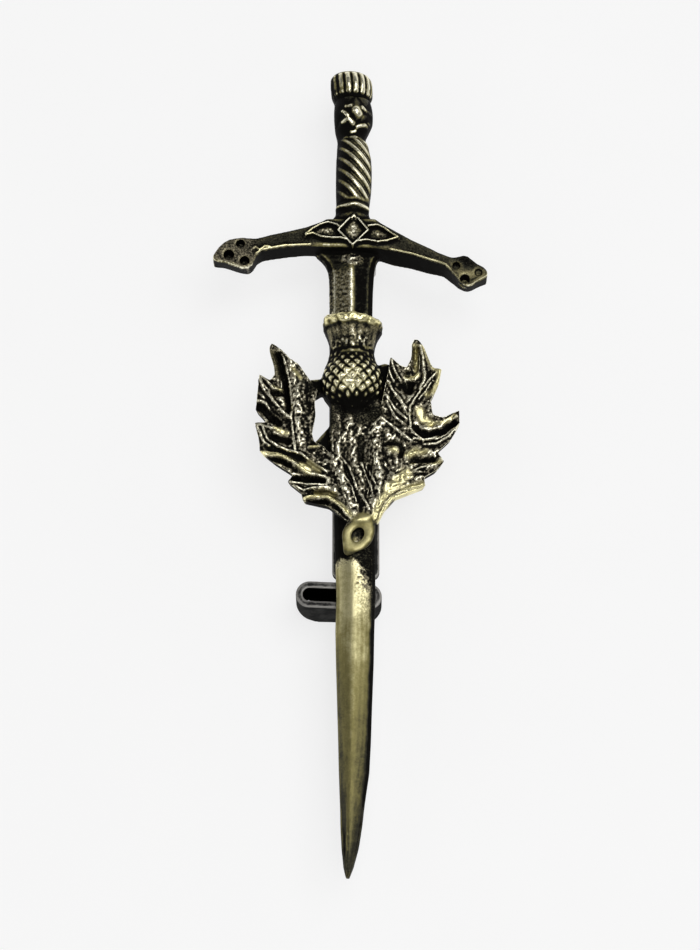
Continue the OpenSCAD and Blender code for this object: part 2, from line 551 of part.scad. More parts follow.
// Left and right back corners of the loop: how far in, and how high, each is cut
corner_cuts = [[-1, 2.1, 2.7], [1, 1.6, 2.6]];
module corner_cut(side, inward, upward) {
    end = catch_x + side * catch_len / 2;
    translate([0, catch_y + catch_w, 0]) rotate([90, 0, 0])
        linear_extrude(2 * catch_w)
            polygon([[end - side * inward, -1], [end - side * inward, 0], [end, upward],
                [end + side, upward + 1], [end + side, -1]]);
}
module notch() {
    long = 2 * catch_w;
    translate([stem_x - notch_w / 2, catch_y - catch_w, -1])
        cube([notch_w, long, 1 + stem_z]);
    translate([stem_x, catch_y + catch_w, stem_z]) rotate([90, 0, 0])
        cylinder(d = notch_w, h = long, $fn = round_sides);
}
module catch() {
    color("dimgray") difference() {
        translate([catch_x, catch_y, 0]) rotate([0, 0, catch_lean])
            linear_extrude(catch_height)
                difference() {
                    race_track(catch_len, catch_w);
                    race_track(catch_len - 2 * catch_wall, catch_w - 2 * catch_wall);
                }
        for (cut = corner_cuts) corner_cut(cut[0], cut[1], cut[2]);
        notch();
    }
}

// Pin: the block behind the guard and the stem that runs down through the catch
block_round = 0.8;
stem_low = catch_y - catch_w / 2 - stem_past;
module pin() {
    color("silver") {
        translate([stem_x, guard_y, (guard_back - back_gap) / 2])
            rotate([0, 90, 0]) linear_extrude(block_w, center = true)
                rounded_plate(guard_back - back_gap, block_len, block_round);
        translate([stem_x, guard_y, stem_z]) rotate([90, 0, 0])
            cylinder(d = stem_d, h = guard_y - stem_low - stem_point, $fn = round_sides);
        translate([stem_x, stem_low + stem_point, stem_z]) rotate([90, 0, 0])
            cylinder(d1 = stem_d, d2 = 0.2, h = stem_point, $fn = round_sides);
    }
}

sword();
thistle_spray();
back_plate();
catch();
pin();
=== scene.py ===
# %% [markdown]
# A sword kilt pin in antiqued brass. The real one is cast, dipped in a black patina and then
# rubbed, so that black stays in every hollow and each raised edge turns to pale gold. The
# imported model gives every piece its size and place. This script gives them their looks.

# %% Load the frame
import math

import bpy
import numpy as np
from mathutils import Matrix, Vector


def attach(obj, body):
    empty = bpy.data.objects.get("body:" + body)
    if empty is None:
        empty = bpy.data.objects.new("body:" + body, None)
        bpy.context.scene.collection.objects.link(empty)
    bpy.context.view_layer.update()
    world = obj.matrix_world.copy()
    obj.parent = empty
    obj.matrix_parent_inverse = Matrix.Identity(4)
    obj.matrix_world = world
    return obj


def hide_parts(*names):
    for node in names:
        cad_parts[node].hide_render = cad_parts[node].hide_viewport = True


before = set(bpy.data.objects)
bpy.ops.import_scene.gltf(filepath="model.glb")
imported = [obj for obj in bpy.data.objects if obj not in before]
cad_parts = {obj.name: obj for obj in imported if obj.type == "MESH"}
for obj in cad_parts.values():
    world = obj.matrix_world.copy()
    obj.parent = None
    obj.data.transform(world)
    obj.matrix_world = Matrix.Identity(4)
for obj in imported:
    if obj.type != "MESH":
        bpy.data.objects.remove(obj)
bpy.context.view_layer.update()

print("nodes:", sorted(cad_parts))

# %% [markdown]
# The casting is a few centimetres long and its finest lines are a quarter of a millimetre
# wide. Blender's remesher and its merge distances are happier with numbers near one, so each
# piece is worked on in millimetres and goes back to metres when it is finished.

# %% Helpers that select, apply and convert
MM = 0.001


def only(piece):
    """Selects one object and makes it active, with all else deselected."""
    bpy.ops.object.select_all(action="DESELECT")
    piece.select_set(True)
    bpy.context.view_layer.objects.active = piece
    return piece


def apply_modifier(piece, kind, **settings):
    """Adds a modifier, gives it its settings and applies it."""
    only(piece)
    modifier = piece.modifiers.new(kind.lower(), kind)
    for name, value in settings.items():
        setattr(modifier, name, value)
    bpy.ops.object.modifier_apply(modifier=modifier.name)
    return piece


def settled():
    """Puts the active piece's place, turn and scale into its mesh, and returns the piece."""
    bpy.ops.object.transform_apply(location=True, rotation=True, scale=True)
    return bpy.context.object


def scale_by(piece, factor):
    """Scales a piece about the origin."""
    only(piece).scale = (factor, factor, factor)
    return settled()


def merged(piece, distance):
    """Merges a piece's doubles and turns its faces outwards."""
    only(piece)
    bpy.ops.object.mode_set(mode="EDIT")
    bpy.ops.mesh.select_all(action="SELECT")
    bpy.ops.mesh.remove_doubles(threshold=distance)
    bpy.ops.mesh.normals_make_consistent(inside=False)
    bpy.ops.object.mode_set(mode="OBJECT")
    return piece


def node_copy(node, name):
    """A copy of a CAD node in millimetres, merged into one closed mesh."""
    piece = bpy.data.objects.new(name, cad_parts[node].data.copy())
    bpy.context.scene.collection.objects.link(piece)
    piece.data.materials.clear()
    scale_by(piece, 1 / MM)
    return merged(piece, 0.002)


# %% Helpers that read and move the vertices of a mesh
def places(piece):
    """The vertices of a piece as rows of x, y and z."""
    flat = np.empty(len(piece.data.vertices) * 3, np.float32)
    piece.data.vertices.foreach_get("co", flat)
    return flat.reshape(-1, 3).astype(float)


def move_to(piece, rows):
    """Moves the vertices of a piece to new places."""
    piece.data.vertices.foreach_set("co", rows.astype(np.float32).ravel())
    piece.data.update()


def outward(piece):
    """The outward direction at each vertex."""
    flat = np.empty(len(piece.data.vertices) * 3, np.float32)
    piece.data.vertex_normals.foreach_get("vector", flat)
    return flat.reshape(-1, 3).astype(float)


def blurred(rows, piece, rounds):
    """Averages each vertex's row with its neighbours', a number of times."""
    links = np.empty(len(piece.data.edges) * 2, np.int32)
    piece.data.edges.foreach_get("vertices", links)
    a, b = links.reshape(-1, 2).T
    count = len(rows)
    degree = np.maximum(np.bincount(a, minlength=count) + np.bincount(b, minlength=count), 1)
    for _ in range(rounds):
        total = [np.bincount(a, rows[b, k], count) + np.bincount(b, rows[a, k], count)
                 for k in range(rows.shape[1])]
        rows = 0.5 * rows + 0.5 * np.stack(total, axis=1) / degree[:, None]
    return rows


def soften(piece, rounds):
    """Takes the facets off a piece, as tumbling a casting does."""
    move_to(piece, blurred(places(piece), piece, rounds))


def ramp(value, low, high):
    """From 0 at low to 1 at high, with soft ends."""
    t = np.clip((value - low) / (high - low), 0, 1)
    return t * t * (3 - 2 * t)


# %% [markdown]
# Two measures shape nearly all the relief. One is the distance from a drawn line, such as the
# vein of a leaf: a ridge or a groove is a height that falls off with that distance. The other
# is a smooth random height, which stands for the grain that a sand or plaster mould leaves.

# %% Distance from a line, and the grain of a mould
def line_distance(flat, line):
    """Distance of each flat point from a line of points, and how far along it that is."""
    line = np.array(line, float)
    legs = np.linalg.norm(np.diff(line, axis=0), axis=1)
    starts = np.concatenate([[0], np.cumsum(legs)])
    best = np.full(len(flat), np.inf)
    along = np.zeros(len(flat))
    for a, b, leg, start in zip(line[:-1], line[1:], legs, starts):
        t = np.clip(((flat - a) @ (b - a)) / leg ** 2, 0, 1)
        away = np.linalg.norm(flat - (a + t[:, None] * (b - a)), axis=1)
        nearer = away < best
        best = np.where(nearer, away, best)
        along = np.where(nearer, (start + t * leg) / starts[-1], along)
    return best, along


def drawn(flat, rows):
    """The highest ridge and the deepest groove of a table's lines at each flat point."""
    high, deep = np.zeros(len(flat)), np.zeros(len(flat))
    for half, height, line in rows:
        away, along = line_distance(flat, line)
        value = height * np.exp(-(away / half) ** 2)
        high, deep = np.maximum(high, value), np.minimum(deep, value)
    return high + deep


def corner_height(cell, seed):
    """A random height from -1 to 1 at each whole corner of space."""
    n = cell[:, 0] * 73856093 ^ cell[:, 1] * 19349663 ^ cell[:, 2] * 83492791 ^ seed * 2654435
    n = (n ^ (n >> 13)) * 1274126177 & 0x7FFFFFFF
    return (n >> 8 & 0xFFFF) / 32767.5 - 1


def grain(rows, size, seed):
    """A smooth random height at each place, with bumps about one size apart."""
    scaled = rows / size + 1000.5
    cell = np.floor(scaled).astype(np.int64)
    part = scaled - cell
    part = part * part * (3 - 2 * part)
    total = np.zeros(len(rows))
    for step in np.ndindex(2, 2, 2):
        share = np.prod(np.where(step, part, 1 - part), axis=1)
        total += share * corner_height(cell + np.array(step), seed)
    return total


# %% [markdown]
# The hilt and the thistle's head are rounded forms whose width and thickness change along
# their length. Each is drawn as sections through a short table, much as a pattern maker
# would cut templates. The relief of strands, scales and flutes is added to the sections, on
# far finer steps than the CAD has, and follows the CAD's own spacing.

# %% Sections through a table, and a body lofted through them
def through(rows, column, at):
    """A smooth curve through one column of a table, read at the given places."""
    x = np.array([row[0] for row in rows], float)
    y = np.array([row[column] for row in rows], float)
    slope = np.gradient(y, x)
    i = np.clip(np.searchsorted(x, at, side="right") - 1, 0, len(x) - 2)
    step = x[i + 1] - x[i]
    t = (at - x[i]) / step
    return ((2 * t ** 3 - 3 * t ** 2 + 1) * y[i] + (t ** 3 - 2 * t ** 2 + t) * step * slope[i]
            + (3 * t ** 2 - 2 * t ** 3) * y[i + 1] + (t ** 3 - t ** 2) * step * slope[i + 1])


SIDE_WALL = 0.3
COLUMNS = 150


def rounded_body(name, rows, back, step, relief, lean=lambda y, x, u: 0 * x * u):
    """A body with a flat back at height back and a round front, through a table's sections."""
    ys = np.arange(rows[0][0], rows[-1][0] + step / 2, step)
    ys[-1] = rows[-1][0]
    across = np.linspace(0, 1, COLUMNS + 1)
    y, u = np.meshgrid(ys, across, indexing="ij")
    left, right, thick = (through(rows, column, ys)[:, None] for column in (1, 2, 3))
    turn = math.pi * (1 - u)
    middle, half, wall = (right - left) / 2, (right + left) / 2, SIDE_WALL * thick
    height = relief(y, u, middle + half * np.cos(turn)) * np.minimum(1, 2 * np.sin(turn))
    x = middle + (half + height) * np.cos(turn)
    z = back + wall + (thick - wall + height) * np.sin(turn)
    front = np.stack([x, y - lean(y, x, u), z], axis=2)
    feet = [np.stack([edge, ys - lean(ys, edge, end), 0 * ys + back], axis=1)[:, None]
            for edge, end in (((middle - half)[:, 0], 0), ((middle + half)[:, 0], 1))]
    rings = np.concatenate([feet[0], front, feet[1]], axis=1)
    count, around = rings.shape[:2]
    faces = [(i * around + j, i * around + (j + 1) % around,
              (i + 1) * around + (j + 1) % around, (i + 1) * around + j)
             for i in range(count - 1) for j in range(around)]
    faces += [tuple(range(around)), tuple((count - 1) * around + j for j in range(around))]
    mesh = bpy.data.meshes.new(name)
    mesh.from_pydata(rings.reshape(-1, 3).tolist(), [], faces)
    piece = bpy.data.objects.new(name, mesh)
    bpy.context.scene.collection.objects.link(piece)
    return merged(piece, 0.001)


def lozenges(i, j, half):
    """Height of staggered scales, 1 at the middle of each and 0 along the lines between."""
    a = np.abs(np.mod(i, 2 * half) / half - 1)
    b = np.abs(np.mod(j, 2 * half) / half - 1)
    return np.abs(a + b - 1)


def lozenge_height(i, j, half):
    """Place up each staggered scale, from -1 at its foot to 1 at its tip."""
    a, b = np.mod(i, 2 * half) / half - 1, np.mod(j, 2 * half) / half - 1
    return np.where(np.abs(a) + np.abs(b) < 1, a, np.mod(i + half, 2 * half) / half - 1)


def bump(value, middle, width):
    """A soft bump, 1 at its middle and almost 0 at twice its width."""
    return np.exp(-((value - middle) / width) ** 2)


# %% [markdown]
# The hilt: a short neck with a collar, a grip of twisted strands, and a pommel in the shape
# of a thistle, with a bulb of large scales and a fluted crown. Each strand of the grip is a
# broad round cord with a thin one beside it.

# %% Hilt
BLADE_BACK = 5.5
GRIP_FOOT, BULB_FOOT, CROWN_FOOT = 30.65, 39.25, 43.85
# Sections of the hilt in mm: y, half width to the left, to the right, and thickness
HILT_ROWS = [
    (26.65, 2.50, 2.80, 2.48), (27.8, 2.50, 2.80, 2.72), (28.8, 2.05, 2.45, 2.88),
    (29.4, 1.70, 2.20, 3.00), (30.0, 1.60, 2.15, 3.12), (30.65, 1.58, 2.20, 3.20),
    (32.3, 1.62, 2.40, 3.60), (34.2, 1.62, 2.50, 3.68), (36.1, 1.58, 2.45, 3.60),
    (37.7, 1.50, 2.20, 3.20), (39.25, 1.48, 1.80, 2.80), (40.1, 1.68, 2.15, 3.20),
    (41.25, 1.80, 2.60, 3.72), (42.35, 1.85, 2.63, 3.80), (43.4, 1.80, 2.45, 3.44),
    (43.85, 1.80, 2.30, 3.20), (44.65, 2.10, 2.60, 3.60), (45.5, 2.20, 2.60, 3.64),
    (46.25, 2.25, 2.50, 3.44), (46.8, 2.15, 2.20, 3.12), (47.1, 1.80, 1.70, 2.60),
    (47.25, 1.00, 1.10, 1.92)]
STRAND_PITCH, STRAND_SLOPE, STRAND_AT = 1.44, 1.05, (0.4, 32.75)
SCALE_HALF_WIDTH, SCALE_HALF_LENGTH, SCALE_AT = 1.25, 1.85, (-0.55, 39.9)
FLUTES = 8
# Worn patches of the pommel's scales: half width and height of each, and its points
POMMEL_PATCHES = [
    (0.52, 0.3, [(0.7, 41.45), (1.15, 41.0)]), (0.27, 0.26, [(-0.85, 41.5), (-0.3, 40.95)]),
    (0.3, 0.26, [(-0.85, 40.3), (-0.2, 40.6), (0.35, 40.1)]),
    (0.27, 0.26, [(0.85, 39.75), (1.75, 40.1)]), (0.2, 0.2, [(0.15, 39.2), (0.6, 39.35)]),
    (0.22, 0.2, [(2.1, 40.4), (2.4, 40.6)]), (0.26, 0.22, [(1.5, 41.95), (1.8, 41.7)]),
    (0.24, 0.18, [(-0.5, 42.05), (0.1, 42.1)]), (0.18, 0.16, [(-0.7, 38.5), (0.7, 38.55)])]


def part_of(y, low, high, fade):
    """1 inside a stretch of the hilt and 0 outside it, with a soft change at each end."""
    return ramp(y, low, low + fade) * (1 - ramp(y, high - fade, high))


def hilt_relief(y, u, x):
    """Height of the hilt's relief at a place along and across it."""
    turns = (y - STRAND_AT[1] + STRAND_SLOPE * (x - STRAND_AT[0])) / STRAND_PITCH
    place = np.abs(np.mod(turns + 0.5, 1) - 0.5)
    cord = np.sqrt(np.clip(1 - (place / 0.36) ** 2, 0, 1))
    thread = 0.75 * bump(place, 0.5, 0.085)
    strands = 0.34 * (np.maximum(cord, thread) - 0.8)
    scale = lozenges((y - SCALE_AT[1]) / SCALE_HALF_LENGTH, (x - SCALE_AT[0]) / SCALE_HALF_WIDTH, 1)
    flat = np.stack([x.ravel(), y.ravel()], axis=1)
    scales = 0.2 * (scale ** 0.5 - 0.8) + drawn(flat, POMMEL_PATCHES).reshape(y.shape)
    rib = np.abs(np.sin(math.pi * FLUTES * u))
    flutes = 0.36 * (rib ** 0.6 - 0.8) * (1 - ramp(y, 46.5, 46.95))
    flutes *= 1 - 0.5 * bump(y, 44.62, 0.16)
    beads = 0.16 * bump(y, 44.2, 0.22) * np.abs(np.sin(math.pi * 2 * FLUTES * u))
    collar = 0.28 * bump(y, 29.9 + 0.06 * np.sin(3 * x), 0.22) - 0.14 * bump(y, 29.3, 0.25)
    return (strands * part_of(y, GRIP_FOOT, BULB_FOOT - 0.6, 0.5)
            + scales * part_of(y, BULB_FOOT - 0.9, CROWN_FOOT - 0.05, 0.2)
            + (flutes + beads) * ramp(y, CROWN_FOOT - 0.15, CROWN_FOOT + 0.2)
            + collar - 0.12 * bump(y, 30.5, 0.16) - 0.14 * bump(y, CROWN_FOOT - 0.12, 0.16))


hilt = rounded_body("hilt", HILT_ROWS, BLADE_BACK, 0.08, hilt_relief)
print("hilt:", len(hilt.data.vertices), "vertices")


# %% [markdown]
# Everything forward of the leaves is one casting, so the new hilt and the rest of the sword
# are fused. The voxel remesh does it: it takes any heap of closed forms and returns the one
# skin around them, with small even faces that the relief can then move.

# %% Cut the old hilt away and fuse the casting
def cut_off(piece, height, keep_below):
    """Bisects a piece along a plane across y, and closes the cut."""
    only(piece)
    bpy.ops.object.mode_set(mode="EDIT")
    bpy.ops.mesh.select_all(action="SELECT")
    bpy.ops.mesh.bisect(plane_co=(0, height, 0), plane_no=(0, 1, 0), use_fill=True,
                        clear_outer=keep_below, clear_inner=not keep_below)
    bpy.ops.object.mode_set(mode="OBJECT")
    return piece


def fused(pieces, voxel, name):
    """Joins closed forms into one and gives them a single skin."""
    only(pieces[0])
    for piece in pieces:
        piece.select_set(True)
    if len(pieces) > 1:
        bpy.ops.object.join()
    body = bpy.context.view_layer.objects.active
    body.name = name
    return apply_modifier(body, "REMESH", mode="VOXEL", voxel_size=voxel, adaptivity=0)


def without_crumbs(piece):
    """Keeps only the largest connected part of a mesh."""
    count = len(piece.data.vertices)
    links = np.empty(len(piece.data.edges) * 2, np.int32)
    piece.data.edges.foreach_get("vertices", links)
    a, b = links.reshape(-1, 2).T
    label = np.arange(count)
    while True:
        lower = np.minimum(label[a], label[b])
        before = label.copy()
        np.minimum.at(label, a, lower)
        np.minimum.at(label, b, lower)
        label = label[label]
        if (label == before).all():
            break
    biggest = np.bincount(label).argmax()
    only(piece)
    bpy.ops.object.mode_set(mode="EDIT")
    bpy.ops.mesh.select_all(action="DESELECT")
    bpy.ops.object.mode_set(mode="OBJECT")
    piece.data.vertices.foreach_set("select", label != biggest)
    bpy.ops.object.mode_set(mode="EDIT")
    bpy.ops.mesh.delete(type="VERT")
    bpy.ops.object.mode_set(mode="OBJECT")
    return piece


NECK_CUT = 28.2
BLADE_SEAM = 0.0
sword_body = cut_off(node_copy("sword", "sword_body"), NECK_CUT, True)
lower_blade = cut_off(node_copy("sword", "lower_blade"), BLADE_SEAM, True)
upper = cut_off(sword_body, BLADE_SEAM, False)
hilt_and_guard = fused([upper, hilt], 0.112, "hilt_and_guard")
soften(hilt_and_guard, 2)
print("hilt_and_guard:", len(hilt_and_guard.data.polygons), "faces")

# %% [markdown]
# The guard carries a lozenge between two pointed ovals, drawn in raised lines, a worn rim
# along its lower edge and a small curl by its left end. They are ridges along drawn lines, so
# each is a row of a table: half width, height, and the points that it passes through.

# %% Relief of the guard
# Half width and height of the ridge, and its points
GUARD_LINES = [
    (0.17, 0.2, [(0.45, 28.65), (2.05, 26.6), (0.3, 24.8), (-1.35, 26.6), (0.45, 28.65)]),
    (0.15, 0.2, [(-5, 26.1), (-4.3, 26.75), (-3.4, 27.3), (-2.5, 27.6), (-1.5, 27.3),
                 (-1.1, 26.95)]),
    (0.17, 0.22, [(-5, 26.0), (-4.2, 26.25), (-3.2, 25.8), (-2.1, 25.65), (-1, 25.65),
                  (-0.5, 25.5)]),
    (0.15, 0.2, [(2.1, 27.15), (3.1, 27.25), (3.9, 26.85), (4.7, 26.2), (5.4, 25.75)]),
    (0.17, 0.22, [(0.9, 25.25), (1.9, 25.4), (3.1, 25.15), (4.2, 25.3), (5.4, 25.7)]),
    (0.16, 0.14, [(-4.6, 24.95), (-7.5, 24.85), (-9.6, 24.4), (-10.6, 23.9)]),
    (0.16, 0.14, [(4.6, 24.3), (7, 23.8), (9, 23.1), (10.7, 22.5), (11.7, 21.4), (12.3, 20.7)]),
    (0.14, 0.16, [(-11.3, 24.2), (-10.7, 24.7), (-10.2, 24.3), (-9.6, 24.8), (-9.1, 24.7)]),
    (0.2, 0.12, [(-15.1, 23.6), (-14.6, 23), (-13.6, 22.8), (-12.3, 22.3), (-11.4, 22.4)]),
    (0.2, 0.12, [(12.4, 20.5), (13.3, 20.1), (14.3, 20.6), (15.1, 21.2), (15, 21.9)])]
GUARD_FIELDS = [
    (0.75, -0.1, [(0.4, 27.3), (0.4, 26.1)]),
    (0.5, -0.1, [(-3.9, 26.5), (-2.9, 26.65), (-2, 26.5)]),
    (0.45, -0.1, [(2.8, 26.35), (4.1, 26)])]
GUARD_FRONT = 8.5


rows, out = places(hilt_and_guard), outward(hilt_and_guard)
facing = ramp(out[:, 2], 0.5, 0.85) * ramp(rows[:, 2], GUARD_FRONT - 0.35, GUARD_FRONT - 0.15)
facing *= 1 - ramp(rows[:, 1], 28.6, 29.2)
fields, lines = drawn(rows[:, :2], GUARD_FIELDS), facing * drawn(rows[:, :2], GUARD_LINES)
rows[:, 2] += lines + facing * fields
fields = np.clip(-facing * fields / 0.1, 0, 1)
left_facet = (1 - ramp(rows[:, 0], -0.1, 0.4)) * (1 - ramp(rows[:, 1], 22, 23))
lobes = ramp(np.abs(rows[:, 0]), 8.8, 10.5) * ramp(rows[:, 1], 18, 19)
middle_boss = ramp(1.1 - np.hypot(0.6 * (rows[:, 0] - 0.2), rows[:, 1] - 23.7), 0, 0.6)
granular = np.clip(0.6 * left_facet + 0.15 * lobes + middle_boss + 0.9 * fields, 0, 1)
rough = grain(rows, 0.3, 3) + 0.7 * grain(rows, 0.2, 4)
rows += out * ((0.005 + 0.03 * granular) * rough)[:, None]
move_to(hilt_and_guard, rows)
print("guard relief:", round(float(np.ptp(facing)), 2), "of full height")

# %% [markdown]
# The lower blade is plain: two facets, ground flat, that meet at a low ridge. It needs an
# even skin too, for the casting pits. The remesh leaves faint steps on such flat metal, so the
# heights of the front are blurred over a long reach, and those of the edges are not.

# %% Lower blade
blade = fused([lower_blade], 0.15, "blade")
soften(blade, 4)
rows, out = places(blade), outward(blade)
edge_on = 1 - ramp(out[:, 2], 0.5, 0.8)
evened = blurred(rows[:, 2:], blade, 45)[:, 0]
rows[:, 2] = evened * (1 - edge_on) + rows[:, 2] * edge_on
move_to(blade, rows)
print("blade:", len(blade.data.polygons), "faces")

# %% [markdown]
# The blade is rubbed bright below a border that slants to the right, where the wheel only
# skipped over the metal and left its pits. The border and the strength of the rubbing, with a
# painted shade towards the point, are read from short tables of places along the blade, here
# for its shape and further down for its wear.

# %% Polish and pits of the lower blade
# Upper border of the polished metal, where the patina under the knot begins
POLISH_BORDER_X = [-2.2, -1.26, -0.77, -0.13, 0.78, 1.51, 2.05, 2.45, 2.8]
POLISH_BORDER_Y = [-12.2, -11.8, -11.6, -11.7, -11.9, -12.5, -13.2, -14.4, -16.5]
# The right edge of the polished facet along the blade: y, and x
STRIP_Y = [-47, -44, -40, -36, -30, -24, -18, -12]
STRIP_X = [0.35, 0.85, 1.3, 1.6, 1.85, 2.05, 2.2, 2.3]
# How hard each facet was rubbed along the blade, with painted shade that darkens it towards the
# point
RUB_AND_SHADE_Y = [-46, -38, -31, -25, -17, -12]
RUB_AND_SHADE_LEFT = [0.42, 0.52, 0.56, 0.61, 0.77, 0.82]
RUB_AND_SHADE_RIGHT = [0.41, 0.49, 0.55, 0.62, 0.77, 0.8]

out = outward(blade)
border = np.interp(rows[:, 0], POLISH_BORDER_X, POLISH_BORDER_Y)
rows[:, 0] += 0.1 * np.sign(out[:, 0]) * edge_on * ramp(-rows[:, 1], 39, 44)
to_right = ramp(rows[:, 0], 0.5, 1.8)
below = border - rows[:, 1] + (1 + 1.5 * to_right) * (0.3 * grain(rows, 0.5, 13)
                                                      + 0.35 * grain(rows, 0.24, 15))
blade_polish = ramp(below / (1 + 4.5 * to_right), 0, 0.6)
front = ramp(out[:, 2], 0.6, 0.85)
near_knot = ramp(rows[:, 1], -21, -14) * ramp(rows[:, 0], 0.3, 1.0)
torn_edge = blade_polish * (1 - ramp(below, 0.4, 1.5 + 2.5 * to_right))
pits = np.minimum(0, grain(rows, 0.36, 11) + 0.4)
rows += out * (front * (0.14 * pits * (near_knot + torn_edge) + 0.006 * grain(rows, 0.4, 12)
                        - 0.05 * (1 - blade_polish)))[:, None]
move_to(blade, rows)
strip = ramp(rows[:, 0] - np.interp(rows[:, 1], STRIP_Y, STRIP_X)
             + 0.12 * grain(rows * (1, 0.4, 1), 0.4, 14), -0.25, 0.3)
print("polished share of the blade:", round(float(blade_polish.mean()), 2))

# %% [markdown]
# The thistle's head: a bulb of small overlapping scales, and a tuft that flares to a
# scalloped rim, with a row of fine beads between them. A noise sways the rows of scales, so
# that no two are alike, as in a pattern that was cut by hand.

# %% Thistle head
SPRAY_BACK = 6.004
# Sections of the head in mm: y, half width to the left, to the right, and thickness
HEAD_ROWS = [
    (5.5, 0.90, 1.40, 2.65), (5.9, 1.80, 2.30, 3.40), (6.6, 2.70, 3.20, 4.30),
    (7.6, 3.10, 3.62, 4.88), (8.6, 3.20, 3.72, 5.02), (9.6, 3.00, 3.50, 4.75),
    (10.5, 2.55, 3.00, 4.15), (11.2, 2.25, 2.70, 3.65), (12.0, 2.15, 2.62, 3.42),
    (13.4, 2.30, 2.82, 3.46), (14.5, 2.58, 3.12, 3.72), (15.3, 2.88, 3.48, 4.00),
    (15.92, 3.00, 3.62, 4.13), (16.2, 2.85, 3.45, 3.90)]
TUFT_FOOT, TUFT_TOP = 11.6, 16.2
HEAD_COLUMNS = 32
HEAD_SCALE_PITCH = 0.33
TUFT_FLUTES = 9
# How far each scallop of the rim falls short of the highest, from left to right
RIM_DROP = [0.75, 0.4, 0.42, 0.2, 0.22, 0, 0.12, 0.08, 0.3, 0.25, 0.5]


def tuft_rib(u):
    """Height of the tuft's ribs across it, 1 on each and 0 between them."""
    return np.abs(np.sin(math.pi * TUFT_FLUTES * u))


def head_relief(y, u, x):
    """Height of the thistle's relief at a place along it and a share of the way across."""
    spot = np.stack([12 * u.ravel(), y.ravel(), 0 * y.ravel()], axis=1)
    sway, swell = grain(spot, 0.7, 31).reshape(y.shape), grain(spot, 0.5, 32).reshape(y.shape)
    row = (y - HEAD_ROWS[0][0]) / HEAD_SCALE_PITCH + 0.4 * sway
    column = HEAD_COLUMNS * u + 0.4 * swell
    scale, tip = lozenges(row, column, 2), lozenge_height(row, column, 2)
    scales = (0.42 + 0.12 * swell) * (1 - (1 - scale) ** 1.5 - 0.6) - 0.08 * tip
    at_rim = ramp(y, 14.85, 15.25)
    flutes = 0.07 * (tuft_rib(u) ** 0.7 - 0.7) * (1 - 0.6 * at_rim)
    cuts = (0.12 + 0.1 * sway) * (1 - tuft_rib(u)) ** 4
    rim = at_rim * (0.3 + 0.08 * swell - cuts)
    beads = (0.02 + 0.06 * swell) * bump(y, 11.85, 0.2) * np.abs(np.sin(math.pi * 15 * u))
    return (scales * part_of(y, HEAD_ROWS[0][0], TUFT_FOOT - 0.1, 0.4)
            + (flutes + rim) * ramp(y, TUFT_FOOT, TUFT_FOOT + 0.6) + beads
            - 0.06 * bump(y, TUFT_FOOT - 0.15, 0.14))


def tuft_lean(y, x, u):
    """How much lower the tuft's rim lies towards the right, and between its ribs."""
    top = np.clip((y - TUFT_FOOT) / (TUFT_TOP - TUFT_FOOT), 0, 1)
    short = np.interp(u, np.linspace(0.1, 0.9, len(RIM_DROP)), RIM_DROP)
    return top * (0.1 * x + short) + 0.1 * (1 - tuft_rib(u)) * ramp(y, 15.2, TUFT_TOP)


thistle_head = rounded_body("thistle_head", HEAD_ROWS, SPRAY_BACK, 0.06, head_relief, tuft_lean)
print("thistle_head:", len(thistle_head.data.vertices), "vertices")

# %% [markdown]
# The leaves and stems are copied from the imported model. Where the new head covers them they
# are lowered, so that nothing pokes through it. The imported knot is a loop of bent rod, and the
# real one is fuller, so the loop is lowered and pulled in to hide under a new ring.

# %% Leaves and stems
KNOT_MIDDLE, KNOT_TURN, KNOT_SHAPE = (0.85, -9.6, 8.03), math.radians(-30), (0.96, 1.36)
HEAD_SEAT, LOOP_TOP, LOOP_REACH = 8.0, 7.4, 1.05


def from_knot(rows):
    """The way from the knot's middle to each place, and its length in the ring's own shape."""
    way = rows[:, :2] - KNOT_MIDDLE[:2]
    turned = way @ np.array([[math.cos(KNOT_TURN), -math.sin(KNOT_TURN)],
                             [math.sin(KNOT_TURN), math.cos(KNOT_TURN)]])
    return way, np.linalg.norm(turned / KNOT_SHAPE, axis=1)


leaves = node_copy("thistle_spray", "leaves")
rows = places(leaves)
under_head = (rows[:, 1] > 5.0) & (rows[:, 2] > HEAD_SEAT) & (np.abs(rows[:, 0] - 0.3) < 3.6)
under_head &= ~((rows[:, 0] < -3.2) | ((rows[:, 0] > 3.6) & (rows[:, 2] < 8.9)))
rows[under_head, 2] = HEAD_SEAT + 0.7 * (rows[under_head, 2] - HEAD_SEAT)
in_knot = ramp(-rows[:, 1], 8, 9)
rows[:, 2] -= 0.8 * in_knot * np.clip(rows[:, 2] - LOOP_TOP, 0, None)
way, reach = from_knot(rows)
pull = in_knot * np.clip(1 - LOOP_REACH / np.maximum(reach, 0.1), 0, 1)
rows[:, :2] -= pull[:, None] * way
move_to(leaves, rows)
print("leaves:", len(leaves.data.vertices), "vertices,", int(under_head.sum()), "under the head")

# %% [markdown]
# The ring starts as a torus. It is drawn out to a drop by narrowing its low side, and its top
# is flattened as polishing does. A flat ball fills the foot of the right stem, where it meets
# the ring, and a thin web fills the space between the stems, just clear of the blade behind.

